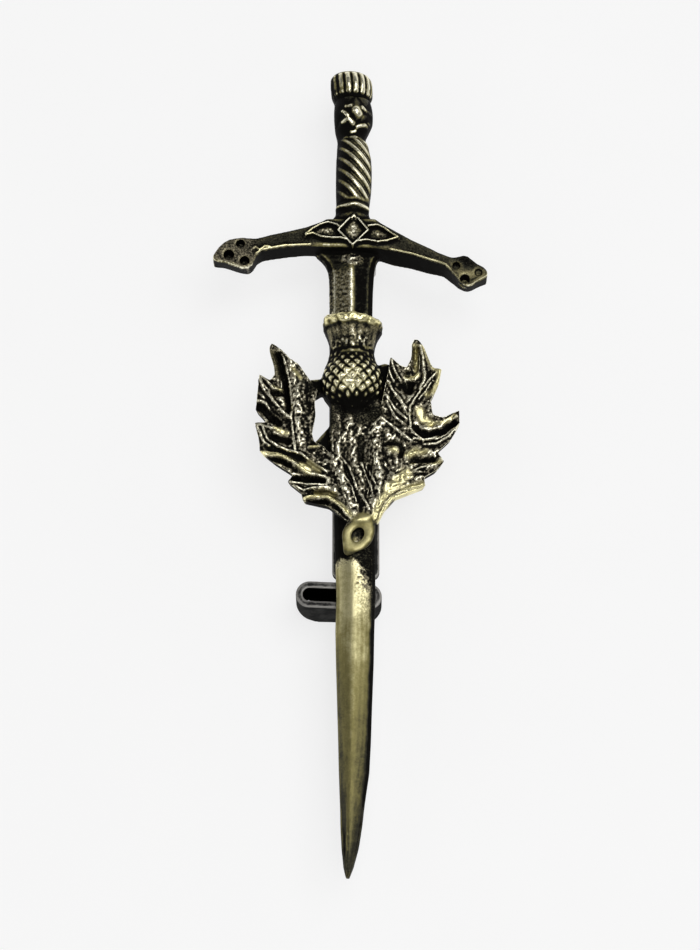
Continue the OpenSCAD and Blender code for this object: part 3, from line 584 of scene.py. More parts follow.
# %% Ring of the knot, foot of the stem, and web
RING_RADIUS, ROD_RADIUS = 1.22, 0.62
bpy.ops.mesh.primitive_torus_add(major_radius=RING_RADIUS, minor_radius=ROD_RADIUS,
                                 major_segments=40, minor_segments=16, location=(0, 0, 0))
knot_ring = bpy.context.object
rows = places(knot_ring) * (*KNOT_SHAPE, 0.8)
rows[:, 0] *= 1 - 0.45 * ramp(-rows[:, 1], 0.5, 2.5)
rows[:, 1] -= 0.25 * ramp(-rows[:, 1], 1.2, 2.4)
rows[:, 2] -= 0.65 * np.clip(rows[:, 2] - 0.2, 0, None)
move_to(knot_ring, rows)
knot_ring.rotation_euler = (0, 0, KNOT_TURN)
knot_ring.location = KNOT_MIDDLE
settled()
bpy.ops.mesh.primitive_uv_sphere_add(segments=32, ring_count=16, radius=1,
                                     location=(1.6, -7.5, 7.9), scale=(1.25, 1.0, 0.5))
stem_foot = settled()
bpy.ops.mesh.primitive_cube_add(size=1, location=(0.9, 1.7, 7.86), scale=(3.6, 6.2, 0.34))
web = settled()
print("ring, foot and web:", [[round(d, 1) for d in part.dimensions]
                              for part in (knot_ring, stem_foot, web)])

# %% [markdown]
# Head, leaves, stems and knot are one casting, so they are fused as the sword was. The remesh
# can leave a crumb or two inside, which are deleted, and a little softening takes its steps.

# %% Fuse the spray
spray = fused([leaves, thistle_head, knot_ring, stem_foot, web], 0.12, "spray")
without_crumbs(spray)
soften(spray, 2)
print("spray:", len(spray.data.polygons), "faces")

# %% [markdown]
# The leaves are the heart of the piece. Each lobe has raised veins, deep black grooves beside
# them and a few smooth gouges that the polishing wheel reached. As on the guard, each is a
# row of a table, and the front of the leaves is moved to the height that the rows give. A
# second table says where the metal is smooth, and whether it is black, dull or bright there.

# %% Lines of the left leaf
# Half width and height in mm, and the points. A height below 0 is a groove.
LEFT_LEAF = [
    (0.17, 0.35, [(-8, 12.2), (-7.4, 11.1), (-7.05, 9.4), (-6.75, 7.9), (-6.6, 6), (-6.5, 4),
                  (-6.3, 2.2), (-6.05, 0.3)]),
    (0.13, 0.3, [(-7.7, 12.1), (-6.8, 11.1)]),
    (0.6, 0.3, [(-6.6, 10.8), (-6, 9), (-5.7, 7.2), (-5.6, 5.5), (-5.7, 3.5), (-5.6, 1.2)]),
    (0.3, -0.9, [(-8, 11.7), (-7.5, 9.9), (-7.1, 8), (-6.85, 6.2), (-6.75, 5)]),
    (0.14, 0.35, [(-10, 9.1), (-9.1, 8.2), (-8.5, 7.5), (-7.6, 7.35)]),
    (0.25, -0.6, [(-8.6, 7), (-7.3, 6.9)]),
    (0.17, 0.4, [(-10.1, 8.9), (-9.6, 7.5), (-8.6, 6.1), (-7.7, 5), (-6.6, 3.8)]),
    (0.13, 0.35, [(-10, 8.4), (-9.1, 7.3), (-8.3, 5.6), (-6.6, 4)]),
    (0.14, 0.4, [(-10.4, 6.1), (-9.4, 5.8), (-8.8, 4.8), (-7.7, 3.8)]),
    (0.4, -0.9, [(-10, 5.3), (-9, 4.6), (-8, 3.6)]),
    (0.15, 0.35, [(-10.4, 3.2), (-9.7, 3.1), (-8.5, 2.7)]),
    (0.3, 0.25, [(-8.4, 2.9), (-7.6, 2.6), (-6.9, 2.2)]),
    (0.35, -0.8, [(-8.6, 1.8), (-6.9, 1.3)]),
    (0.13, 0.35, [(-10.3, 3), (-9.9, 2.1), (-9.5, 1.1), (-8.9, 0.7)]),
    (0.16, 0.4, [(-9.7, 3.1), (-9.4, 2.1), (-8.9, 1.4), (-8, 0.7), (-6.9, 0.2), (-5.6, -0.1),
                 (-3.9, -1.5), (-2.6, -2.3)]),
    (0.4, -0.25, [(-8.8, 0.3), (-6.7, -0.2), (-4.8, -1.1), (-3, -2.4)]),
    (0.28, 0.5, [(-9.7, -0.2), (-8.1, -0.3), (-6.9, -0.8), (-5.9, -1.6), (-4.8, -2.4),
                 (-3.5, -2.8), (-2.6, -3.3)]),
    (0.2, -0.5, [(-9.2, -0.85), (-7.7, -1), (-6.6, -1.6)]),
    (0.5, 0.3, [(-5.4, -1.6), (-4.6, -2.2)]),
    (0.13, 0.3, [(-6.5, -3.6), (-4.6, -3.8), (-2.6, -3.8)]),
    (0.13, 0.3, [(-6.2, -4), (-5.1, -4.5), (-3.8, -4.2), (-2.6, -4.1)]),
    (0.3, -1.1, [(-6, -3.1), (-4.5, -3.2), (-2.9, -3.3)]),
    (0.2, -0.45, [(-4, -4.9), (-2.6, -4.7), (-1.6, -5.1)]),
    (0.22, 0.5, [(-4.9, -5.5), (-3.8, -5.2), (-2.6, -5.3), (-1.3, -6.1), (-0.4, -7.3),
                 (0.2, -8)]),
    (0.25, -0.5, [(-4.6, -6), (-2.6, -5.9)]),
    (0.18, 0.35, [(-4.5, 0.5), (-3.5, 0.6)])]

# %% [markdown]
# The right leaf curls more than the left one, and the hollow of its large hook is the
# brightest metal on the spray. The stems' lines run down into the knot.

# %% Lines of the right leaf and the stems
RIGHT_LEAF = [
    (0.16, 0.35, [(4.6, 10.9), (4.9, 9.8), (5.3, 8.9), (5.8, 8.2)]),
    (0.14, 0.35, [(4.2, 10.4), (4.4, 9.3), (4.9, 8.4)]),
    (0.14, 0.3, [(4.1, 8.5), (4.9, 7.1), (5.8, 5.6), (6.4, 4.3)]),
    (0.14, 0.3, [(3.9, 6.9), (4.8, 5.4), (5.6, 4.5), (6.3, 3.8)]),
    (0.14, 0.3, [(4.1, 6), (4.9, 4.3), (5.8, 3.4)]),
    (0.14, 0.3, [(4.4, 7.8), (5.4, 6.5), (6.3, 5.1)]),
    (0.45, -0.8, [(5.9, 7.8), (6.5, 7.2), (6.8, 8)]),
    (0.38, -0.5, [(7.45, 12.2), (7.5, 10.8), (7.35, 9.8), (6.6, 9.3)]),
    (0.25, 0.4, [(7.8, 12.6), (8.1, 11.1), (8.3, 9.6), (8.3, 8.5), (7.8, 7.4)]),
    (0.14, 0.4, [(9.6, 9.4), (8.5, 8), (7.5, 6.7), (6.7, 5.4), (6.5, 4.3)]),
    (0.12, 0.3, [(9.2, 8.4), (8.5, 7.4), (7.7, 6.3)]),
    (0.25, 0.3, [(10, 9.6), (9.9, 8.7), (9.5, 8), (9, 6.9)]),
    (0.32, -1, [(7.2, 2.9), (7.7, 2.4), (8.5, 2.15), (10.2, 2.4), (11.5, 3.5)]),
    (0.7, -0.25, [(7.9, 4.6), (8.2, 3.9), (8.9, 3.5)]),
    (0.14, 0.35, [(7.1, 1.6), (8.1, 1.4), (9.2, 1.6), (10.7, 3), (11.8, 4.2)]),
    (0.14, 0.35, [(8.2, 0.9), (9.5, 1), (10.9, 1.8), (12.1, 3.2)]),
    (0.1, 0.25, [(9.5, 1.5), (10.5, 2), (11.6, 2.9)]),
    (0.15, 0.35, [(6.7, 5.3), (6.6, 3.9), (6.9, 2.4), (8.1, 1.3)]),
    (0.5, 0.45, [(4.5, 0.2), (4.9, 0.25)]),
    (0.25, -0.35, [(4, 1), (4.8, 1.1), (5.5, 0.9), (5.8, 0.2), (5.6, -0.5)]),
    (0.5, 0.45, [(6.4, -0.5), (7.4, 0), (8.5, 0.1)]),
    (0.28, -0.7, [(7.1, -0.95), (8, -1), (9.1, -0.85)]),
    (0.3, 0.3, [(8.5, -1.8), (9.5, -1.6), (10, -1)]),
    (0.15, 0.35, [(6.6, -2.4), (7.8, -1.9), (9.1, -1.6)]),
    (0.9, 0.3, [(4.3, -4), (5.7, -3.1), (7, -2.7)]),
    (0.16, -0.22, [(6.4, -2.7), (8.1, -2.6)]), (0.14, -0.12, [(4.6, -3.4), (5.7, -3.6)]),
    (0.14, -0.12, [(4.4, -4.4), (6, -3.7)]), (0.14, -0.12, [(5, -2.6), (6, -2)]),
    (0.25, 0.35, [(4.9, -5.1), (6.6, -4.3), (8.2, -3.9)]),
    (0.22, 0.4, [(4.8, -5.1), (3.9, -6), (3.3, -7.1), (3, -8.3)])]
STEMS = [
    (0.6, 0.25, [(-0.3, 5.2), (0, 3.8), (-0.5, 2), (-1.3, 0.3), (-1.5, -1.6), (-0.7, -3.8),
                 (0.2, -6.3), (0.6, -7.6)]),
    (0.55, 0.3, [(3.5, 3.7), (2.65, 2.4), (2.6, 0.1), (3.1, -1.9), (3.3, -3.5), (2.8, -5.3),
                 (2.2, -7.2)]),
    (0.5, 0.2, [(-2.6, 2), (-2, 0.3), (-1.6, -1.4)]), (0.4, -0.5, [(1.2, 1.6), (1.15, -0.8)]),
    (0.12, 0.28, [(1.8, -1.7), (2.9, -4), (3.3, -5.8)]),
    (0.12, 0.28, [(1.2, -1.1), (2.2, -3.7), (2.8, -6.2)]),
    (0.12, 0.28, [(-1.1, -0.4), (0, -1.9), (0.8, -4.4)]),
    (0.12, 0.28, [(-1.1, -2.2), (0, -3.7), (0.7, -5.8)]),
    (0.12, 0.28, [(-0.7, -4.9), (0.3, -7.1)]),
    (0.14, 0.28, [(1, -4.7), (1.9, -6.2), (2, -7.6)]),
    (0.4, 0.25, [(3.9, -5.2), (3.2, -6.3), (2.75, -7.7)]),
    (0.16, 0.28, [(2.6, 3.2), (3.4, 4.1), (4.6, 3.2), (5.8, 2.05), (6.8, 1.3)])]
# Smooth patches of the leaves: half width, tone from 0 for black to 1 for bright, and points
SMOOTH = [
    (0.32, 0.95, [(-9.7, -0.2), (-8.3, -0.3), (-7, -0.7), (-6.1, -1.1)]),
    (0.6, 1.0, [(-5.4, -1.6), (-4.7, -2.2)]), (0.5, 0.66, [(-4.5, -1.3), (-3.5, -2.2)]),
    (0.35, 0.9, [(-8.2, 2.8), (-7.6, 2.45), (-7, 2.2)]), (0.2, 0.85, [(-8.5, 7.8), (-7.6, 7.3)]),
    (0.32, 0.95, [(-4.9, -5.5), (-3.6, -5.15), (-2.4, -5.3), (-1, -6.2), (0.1, -7.5)]),
    (0.35, 0.62, [(-3.8, -4.8), (-2.6, -4.75), (-1.6, -5.1)]),
    (0.2, 0.8, [(-4.4, 0.5), (-3.6, 0.6)]), (0.3, 0.75, [(-6.3, 9.8), (-5.5, 8.8)]),
    (0.42, 0.47, [(-8.55, 12), (-8.25, 10.4), (-8, 9)]),
    (0.35, 0.75, [(7.3, 12.7), (7.35, 11.2), (7.35, 9.8)]),
    (0.38, 1.0, [(6.3, 9), (7, 8.85), (7.5, 9.2)]),
    (0.35, 0.85, [(8.3, 12.6), (8.8, 11.2), (9.2, 10.1), (9.9, 9.6)]),
    (0.4, 0.85, [(9.95, 9.6), (9.9, 8.4), (9.3, 7.2), (8.6, 6.8)]),
    (0.62, 0.92, [(7.75, 4.9), (8.1, 4), (8.9, 3.5)]),
    (0.25, 0.95, [(9.1, 3.4), (10.6, 3.5), (11.6, 4.3)]),
    (0.45, 0.9, [(4.6, 0.3), (4.9, 0.15)]), (0.62, 0.95, [(6.6, -0.4), (7.3, 0.1)]),
    (0.4, 0.7, [(7.8, -0.1), (8.3, 0)]), (0.8, 0.92, [(4.3, -4.5), (5.4, -3.5), (6.2, -2.6)]),
    (0.5, 0.9, [(5.8, -4.4), (8, -3.8)]), (0.25, 0.7, [(9.2, -1.4), (9.9, -1.3)]),
    (0.25, 0.9, [(8, -4.3), (6.2, -4.8), (4.5, -5.5), (3.5, -7.1), (3, -8.6)]),
    (0.5, 0.88, [(3.9, -5.1), (3.2, -6.2), (2.75, -7.6)]),
    (0.28, 0.1, [(-7.9, 11.6), (-7.5, 9.9), (-7.1, 8), (-6.9, 6.2)]),
    (0.5, 0.22, [(-4, 7.9), (-2.7, 8)]), (0.3, 0.12, [(-8.6, 6.9), (-7.2, 6.8)]),
    (0.45, 0.15, [(-10, 5.3), (-9, 4.6), (-8, 3.6)]), (0.4, 0.12, [(-8.6, 1.8), (-6.9, 1.3)]),
    (0.2, 0.1, [(-9.2, -0.9), (-7.7, -1.05), (-6.7, -1.7)]),
    (0.32, 0.1, [(-6, -3.15), (-3.2, -3.3)]), (0.25, 0.12, [(-4.6, -6), (-2.6, -5.9)]),
    (0.7, 0.3, [(-2.3, 5.2), (-2.1, 3.4)]), (0.85, 0.2, [(-1.2, 5.2), (0.6, 4.8), (2.6, 5)]),
    (0.5, 0.3, [(1.1, 3.6), (2.2, 4.1), (3.3, 4.7)]), (0.42, 0.3, [(1.2, 1.8), (1.15, -0.7)]),
    (0.45, 0.1, [(6, 7.9), (6.5, 7.2), (6.8, 8)]), (0.25, 0.15, [(6.4, 8.3), (7.3, 8.2)]),
    (0.38, 0.1, [(7.3, 2.8), (7.8, 2.35), (8.6, 2.2), (10.1, 2.4), (11.3, 3.3)]),
    (0.25, 0.2, [(4.8, 1.2), (5.6, 0.9), (5.8, 0.2)]),
    (0.32, 0.12, [(7.1, -1), (8, -1.05), (9, -0.9)])]
# Lines that the rough texture of the leaves and stems runs along
FLOW = [LEFT_LEAF[0][2], LEFT_LEAF[6][2], LEFT_LEAF[14][2], RIGHT_LEAF[2][2], RIGHT_LEAF[8][2],
        RIGHT_LEAF[9][2], STEMS[0][2], STEMS[1][2], STEMS[4][2]]
FLOW_PITCH = 0.5
print("lines on the leaves and stems:", len(LEFT_LEAF) + len(RIGHT_LEAF) + len(STEMS))

# %% [markdown]
# The drawn lines are only half of it. Between them the metal is rough from the mould, except
# on the smooth patches, so a fine grain and a ripple that runs along the veins are added where
# the tables leave room. The thistle's head and the knot are masked out and keep their forms.

# %% Relief of the spray
LEAF_LEVEL = 8.15


def smoothed_tone(flat, rows):
    """How much each flat point lies in a table's smooth patches, and the tone of those."""
    share, total, tone = np.zeros(len(flat)), np.full(len(flat), 1e-6), np.zeros(len(flat))
    for half, level, line in rows:
        inside = np.exp(-(line_distance(flat, line)[0] / half) ** 2.5)
        share, total, tone = np.maximum(share, inside), total + inside, tone + inside * level
    return share, tone / total


def head_cover(rows):
    """1 on the thistle's head and 0 on the leaves and stems."""
    y = np.clip(rows[:, 1], HEAD_ROWS[0][0], TUFT_TOP)
    left, right = -through(HEAD_ROWS, 1, y), through(HEAD_ROWS, 2, y)
    inside = np.minimum(rows[:, 0] - left, right - rows[:, 0])
    return ramp(inside, -0.25, 0.1) * ramp(rows[:, 1], 4.7, 5.3)


rows, out = places(spray), outward(spray)
on_head = head_cover(rows)
on_knot = 1 - ramp(rows[:, 1] + 0.9 * np.abs(rows[:, 0] - 1.5)
                   + 0.3 * grain(rows, 0.3, 26), -7.4, -6.4)
on_knot = np.maximum(on_knot, 1 - ramp(rows[:, 1], -8.9, -8.3))
weight = ramp(out[:, 2], 0.25, 0.7) * ramp(rows[:, 2], 7.5, 7.8) * (1 - on_head) * (1 - on_knot)
height = drawn(rows[:, :2], LEFT_LEAF + RIGHT_LEAF + STEMS)
height *= 1 + 0.7 * grain(rows, 0.5, 25)
smooth, tone = smoothed_tone(rows[:, :2], SMOOTH)
smooth *= 1 - on_head
level = 0.35 * rows[:, 2] + 0.65 * LEAF_LEVEL
rows[:, 2] += weight * (level + height - rows[:, 2])
away = np.min([line_distance(rows[:, :2], line)[0] for line in FLOW], axis=0)
ripple = np.sin(2 * math.pi * away / FLOW_PITCH + 4.5 * grain(rows, 0.7, 23))
rough = 0.8 * grain(rows, 0.34, 21) + 1.1 * grain(rows, 0.22, 22) + 0.3 * ripple
amount = (0.06 * weight + 0.008) * (1 - smooth) * (1 - 0.5 * on_head)
rows += out * (amount * rough)[:, None]
move_to(spray, rows)
rows += (on_knot * ramp(rows[:, 2], 6.3, 6.8))[:, None] * (blurred(rows, spray, 14) - rows)
move_to(spray, rows)
soften(spray, 1)
print("spray heights in mm:", np.round([rows[:, 2].min(), rows[:, 2].max()], 2))

# %% [markdown]
# The spray rides over the blade and must not sink into it. A ray dropped on the sword at each
# vertex, and a little to both sides of it, finds how high the metal is there, and the back of
# the spray is lifted just clear of that. It leaves a channel in which the blade lies.

# %% Channel for the blade
CLEARANCE, MARGIN, ABOVE_ALL = 0.08, 0.13, 20


def metal_under(x, y):
    """The height of the sword's front below a place, or 0 where there is none."""
    highest = 0
    for step in (-MARGIN, 0, MARGIN):
        for piece in (hilt_and_guard, blade):
            hit, place, _, _ = piece.ray_cast((x + step, y, ABOVE_ALL), (0, 0, -1))
            highest = max(highest, place.z) if hit else highest
    return highest


rows = places(spray)
low = (rows[:, 2] < 8.0) & (np.abs(rows[:, 0] - 0.3) < 3.3)
level = np.array([metal_under(x, y) for x, y in rows[low, :2]]) + CLEARANCE
lift = np.clip(level - rows[low, 2], 0, None)
rows[low, 2] += lift
move_to(spray, rows)
print("lifted:", int((lift > 0).sum()), "vertices, by up to", round(float(lift.max()), 2), "mm")

# %% [markdown]
# Wear is the other half of the finish. A rubbed casting is bright where its surface stands
# out from its surroundings and black where it lies in. The difference between a vertex and
# its blurred neighbours says which, once over a short reach for fine edges and once over a
# long reach for whole forms. Painted light and shade, which the tables below add, go into the
# same number, which is kept on the mesh as an attribute that the material reads.

# %% Measure the wear
def standing_out(piece, rounds):
    """How far each vertex stands out from its blurred surroundings, in mm."""
    rows = places(piece)
    return np.einsum("ij,ij->i", rows - blurred(rows, piece, rounds), outward(piece))


def keep(piece, name, values):
    """Stores a number for each vertex as an attribute of the mesh."""
    attribute = piece.data.attributes.new(name, "FLOAT", "POINT")
    attribute.data.foreach_set("value", values.astype(np.float32))


def measure_wear_and_light(piece, fine, coarse, base, facing, extra=0, smooth=0, tone=0):
    """Stores the wear of a casting, with painted light and shade, from 0 in its hollows to 1 on its
    edges.
    """
    near, far = standing_out(piece, 5), standing_out(piece, 40)
    # The facing term darkens surfaces that turn from the front: partly where rubbing does not
    # reach, partly painted shade under the light from above.
    wear_and_painted_light = base + near / fine + far / coarse + facing * (outward(piece)[:, 2] - 1) + extra
    wear_and_painted_light = (1 - smooth) * np.clip(wear_and_painted_light, 0, 1) + smooth * tone
    keep(piece, "wear_and_painted_light", np.clip(wear_and_painted_light, 0, 1))
    print(piece.name, "mean wear:", round(float(np.clip(wear_and_painted_light, 0, 1).mean()), 3))


# %% [markdown]
# The sword is not worn alike all over. Its guard is evenly dull between bright raised lines,
# its top edges are dark, partly from patina and partly as painted shade, the grip and pommel
# are painted lighter where they face right and darker where they face left, as painted light
# from the right, the pommel's scales shine in a few patches, and the short stretch of blade
# under the guard is bright along its ridge alone.

# %% Wear of the hilt and guard
# The line along which the guard's right end shines
RIGHT_END_SHINE = [(12.1, 22), (12.6, 21.4), (14.4, 21.3)]

rows, out = places(hilt_and_guard), outward(hilt_and_guard)
front = ramp(out[:, 2], 0.5, 0.8)
on_blade = (1 - ramp(rows[:, 1], 22, 23.5)) * (1 - ramp(np.abs(rows[:, 0]), 4, 5))
on_hilt = ramp(rows[:, 1], 28.5, 29.5)
on_guard = (1 - on_hilt) * (1 - on_blade)
blade_sides = on_blade * ramp(np.abs(rows[:, 0]), 1.9, 2.4)
ridge = on_blade * bump(rows[:, 0], 0.35, 0.22)
# The guard's upward-facing edges are kept dark, partly as patina and partly as painted shade.
top_edges_patina_and_shade = on_guard * np.clip(out[:, 1], 0, 1)
arms = on_guard * front * ramp(np.abs(rows[:, 0]), 2.5, 4.5)
left_lobe, right_lobe = ramp(-rows[:, 0], 10, 11.2), ramp(rows[:, 0], 10.8, 11.8)
right_top = ramp(rows[:, 1] - 0.3 * (rows[:, 0] - 12), 20.6, 22.0)
arm_share = 0.7 * arms * (1 - np.clip(lines / 0.06, 0, 1)) * (1 - left_lobe - right_lobe)
lobe_share = front * (0.75 * left_lobe + 0.8 * right_lobe) + arm_share
glow = bump(line_distance(rows[:, :2], RIGHT_END_SHINE)[0], 0, 0.8)
lobe_tone = np.where(rows[:, 0] < 0, 0.46, 0.26 + 0.4 * glow - 0.1 * right_top)
lobe_tone = np.where(arm_share > 0.02, 0.35, lobe_tone)
on_pommel = part_of(rows[:, 1], 38.6, CROWN_FOOT + 0.4, 0.3)
patches = on_pommel * front * np.clip(drawn(rows[:, :2], POMMEL_PATCHES) / 0.24, 0, 1)
crown_top = ramp(rows[:, 1], 44.7, 45.6) * front
# Painted light and shade: the hilt is lighter where it faces right, darker where it faces left, and
# darker on the pommel.
hilt_painted_side_light = on_hilt * (0.2 + 0.35 * np.clip(out[:, 0] - 0.1, -1, 0.4) - 0.3 * on_pommel)
keep(hilt_and_guard, "polish", np.clip(0.85 * arms + 0.1 * on_hilt, 0, 1))
keep(hilt_and_guard, "dust", np.maximum(granular, front * (0.6 * left_lobe + 0.4 * arms)))
measure_wear_and_light(hilt_and_guard, 0.05, 0.35, 0.26, 0.45,
             hilt_painted_side_light + 0.6 * patches + 0.15 * crown_top - 0.05 * on_blade - 0.3 * blade_sides
             + 0.4 * ridge + 0.2 * granular + 0.05 * arms - 1.1 * top_edges_patina_and_shade
             + 0.24 * left_facet + 0.2 * middle_boss + 0.45 * fields + 1.5 * lines,
             lobe_share, lobe_tone)

# %% [markdown]
# The lower blade takes its wear from the tables beside its shape. Its right strip and its left
# edge keep their patina, the metal inside the knot's loop is bright, and the blade is painted
# darker towards its point, as shade, so that the tip is evenly dull.

# %% Wear of the blade
UNWORN, TIP_TONE = 0.22, 0.4
rows = places(blade)
side = ramp(rows[:, 0], -0.4, 0.9)
rub_and_shade = ((1 - side) * np.interp(rows[:, 1], RUB_AND_SHADE_Y, RUB_AND_SHADE_LEFT)
       + side * np.interp(rows[:, 1], RUB_AND_SHADE_Y, RUB_AND_SHADE_RIGHT))
in_loop = bump(np.hypot(rows[:, 0] - 0.75, rows[:, 1] + 10.1), 0, 0.5)
left_edge = ramp(-rows[:, 0], 2.15, 2.4)
# Painted shade: the blade darkens towards its point.
point = ramp(-rows[:, 1], 42, 46)
keep(blade, "polish", 0.8 * blade_polish)
keep(blade, "dust", np.clip(0.6 * near_knot + torn_edge, 0, 1))
measure_wear_and_light(blade, 0.12, 4, UNWORN, 0.4,
             blade_polish * (rub_and_shade - UNWORN) * (1 - 0.85 * strip) - 0.2 * left_edge + 0.5 * in_loop
             - 0.17 * point, 0.85 * ramp(-rows[:, 1], 43.5, 46), TIP_TONE)

# %% [markdown]
# The spray stands highest and is rubbed most. Its bulb is bright at the middle, partly from
# wear and partly as a painted highlight, and dark at both ends, with painted shade under its
# foot; the tuft is dull with a row of specks at its foot and a worn rim, the leaves are as their
# tables say, and the knot's ring is gold and darkens towards its outer edge.

# %% Wear of the spray
rows, out = places(spray), outward(spray)
height = 0.25 * np.clip(rows[:, 2] - 8.3, -1.2, 0.6)
on_bulb = on_head * (1 - ramp(rows[:, 1], 11.2, 11.6))
# The bulb's middle is made brighter, partly as wear and partly as a painted highlight.
middle = np.exp(-((rows[:, 0] - 0.2) / 2.3) ** 2 - ((rows[:, 1] - 7.7) / 2.2) ** 2)
crest_wear_and_highlight = on_head * (0.42 * middle + 0.55 * middle ** 4 - 0.2) * (1 - ramp(rows[:, 1], 11, 12))
scale_edges = on_bulb * standing_out(spray, 5) / 0.1 + 0.25 * on_head * grain(rows, 0.5, 33)
# The bulb's foot and underside are painted dark as shade; the band at its waist keeps patina.
bulb_ends_shade_and_patina = on_head * (0.3 * (1 - ramp(rows[:, 1], 5.9, 7.2)) + 0.12 * bump(rows[:, 1], 11, 0.6))
underside_painted_shade = on_head * np.clip(-out[:, 1] - 0.5, 0, 1) * (1 - ramp(rows[:, 1], 6.2, 7))
tuft_body = on_head * part_of(rows[:, 1], 12.3, 14.9, 0.3)
specks = (on_head * part_of(rows[:, 1], 11.6, 13.8, 0.5)
          * (1.1 * np.clip(grain(rows, 0.24, 36), 0, 1) - 0.25
             - bump(rows[:, 1], 11.85, 0.3) * (0.6 - grain(rows, 0.3, 37))))
rim = on_head * ramp(rows[:, 1] + 0.1 * rows[:, 0] + 0.3 * grain(rows, 0.4, 35), 14.3, 15.3)
rim_light = rim * (0.12 + 0.4 * grain(rows, 0.5, 34))
dust = np.clip(weight * 1.2 - smooth * (0.45 + 0.55 * ramp(tone, 0.5, 0.7)), 0, 1)
# Lighter and darker spots of the leaves: how much, x and y of the middle, and the reach in both
LEAF_LIGHTS = [(0.2, 5.4, 5.2, 1.2, 2.2), (0.05, -5.9, 7.5, 0.7, 3.5), (-0.2, -4.7, 5, 0.7, 3.5)]
leaf_light = weight * sum(amount * bump(rows[:, 0], x, x_reach) * bump(rows[:, 1], y, y_reach)
                          for amount, x, y, x_reach, y_reach in LEAF_LIGHTS)

flank = on_head * part_of(rows[:, 1], 11.8, 15.1, 0.6) * ramp(1 - out[:, 2], 0.15, 0.45)
smooth, tone = np.maximum(smooth, 0.8 * flank), tone * (1 - flank) + 0.66 * flank
knot_face = on_knot * ramp(out[:, 2], 0.15, 0.5) * ramp(rows[:, 2], 7.5, 7.7)
outer_edge = (ramp(from_knot(rows)[1] + 0.15 * grain(rows, 0.5, 38), 1.3, 1.75)
              * (1 - ramp(rows[:, 1], -8.5, -7.7)))
smooth = np.maximum(smooth, 0.7 * knot_face)
tone = tone * (1 - knot_face) + (0.82 - 0.5 * outer_edge) * knot_face
keep(spray, "polish", np.clip(smooth * ramp(tone, 0.4, 0.7) + rim + 0.5 * on_bulb
                              + 0.9 * on_knot, 0, 1))
keep(spray, "dust", np.clip(dust + 0.6 * tuft_body, 0, 1))
measure_wear_and_light(spray, 0.08, 0.4, 0.4, 0.35, height + 0.12 * dust - 0.7 * underside_painted_shade
             - 0.02 * tuft_body + rim_light + crest_wear_and_highlight + scale_edges + leaf_light
             + specks - bulb_ends_shade_and_patina, smooth, tone)

# %% [markdown]
# One material serves all the castings. It mixes a dull black patina with rubbed brass by the
# wear attribute, which also carries painted light and shade, broken up by fine noise so that
# the border between them is ragged, as it is when patina wears off in specks. Noise in object
# coordinates has no seams on such forms.

# %% Antiqued brass
def new_material(name):
    """A new material, with its node tree and its main shader."""
    material = bpy.data.materials.new(name)
    material.use_nodes = True
    tree = material.node_tree
    shader = tree.nodes["Principled BSDF"]
    return material, tree, shader


def object_place(tree):
    """The place on the object, which no seam or stretching disturbs."""
    return tree.nodes.new("ShaderNodeTexCoord").outputs["Object"]


def drawn_out(tree, place, share):
    """Places pressed together along y, which draws a pattern out into lines along it."""
    made = tree.nodes.new("ShaderNodeMapping")
    made.inputs["Scale"].default_value = (1, share, 1)
    tree.links.new(place, made.inputs["Vector"])
    return made.outputs["Vector"]


def noise(tree, source, scale, detail=3.0, roughness=0.6):
    """Noise over a vector, about from 0 to 1."""
    made = tree.nodes.new("ShaderNodeTexNoise")
    made.inputs["Scale"].default_value = scale
    made.inputs["Detail"].default_value = detail
    made.inputs["Roughness"].default_value = roughness
    tree.links.new(source, made.inputs["Vector"])
    return made.outputs["Fac"]


def maths(tree, operation, a, b=0.5, clamp=False):
    """A sum, product or other operation on two values, each a socket or a number."""
    made = tree.nodes.new("ShaderNodeMath")
    made.operation = operation
    made.use_clamp = clamp
    for socket, value in zip(made.inputs, (a, b)):
        if isinstance(value, (int, float)):
            socket.default_value = value
        else:
            tree.links.new(value, socket)
    return made.outputs[0]


def spread(tree, value, low, high, to_low=0.0, to_high=1.0):
    """Maps a value from one range to another, with soft ends."""
    made = tree.nodes.new("ShaderNodeMapRange")
    made.interpolation_type = "SMOOTHSTEP"
    for name, number in (("From Min", low), ("From Max", high), ("To Min", to_low),
                         ("To Max", to_high)):
        made.inputs[name].default_value = number
    tree.links.new(value, made.inputs["Value"])
    return made.outputs["Result"]


def mixed(tree, share, a, b):
    """A colour between two, each a colour or a socket."""
    made = tree.nodes.new("ShaderNodeMix")
    made.data_type = "RGBA"
    tree.links.new(share, made.inputs["Factor"])
    for socket, value in zip((made.inputs["A"], made.inputs["B"]), (a, b)):
        if isinstance(value, tuple):
            socket.default_value = (*value, 1)
        else:
            tree.links.new(value, socket)
    return made.outputs["Result"]


def attribute(tree, name):
    """The value of a mesh attribute."""
    made = tree.nodes.new("ShaderNodeAttribute")
    made.attribute_name = name
    return made.outputs["Fac"]


def roughen(tree, shader, height, distance, strength):
    """Gives a shader a relief too fine for the mesh."""
    made = tree.nodes.new("ShaderNodeBump")
    made.inputs["Distance"].default_value = distance
    made.inputs["Strength"].default_value = strength
    tree.links.new(height, made.inputs["Height"])
    tree.links.new(made.outputs["Normal"], shader.inputs["Normal"])


PATINA = (0.005, 0.0047, 0.004)
DEEP_BRASS = (0.047, 0.045, 0.031)
OLIVE_BRASS = (0.25, 0.22, 0.088)
DUSTY_BRASS = (0.24, 0.21, 0.145)
GOLD_BRASS = (0.97, 0.89, 0.48)
CREAM_BRASS = (0.97, 0.93, 0.72)
# The wear over which the patina breaks, the dull metal comes out, and the metal turns bright
BREAKS, COMES_OUT, TURNS_BRIGHT = (0.22, 0.40), (0.36, 0.66), (0.60, 1.0)


def less_half(tree, value, times):
    """A value about a half made a swing about zero, and multiplied."""
    return maths(tree, "MULTIPLY", maths(tree, "SUBTRACT", value), times)


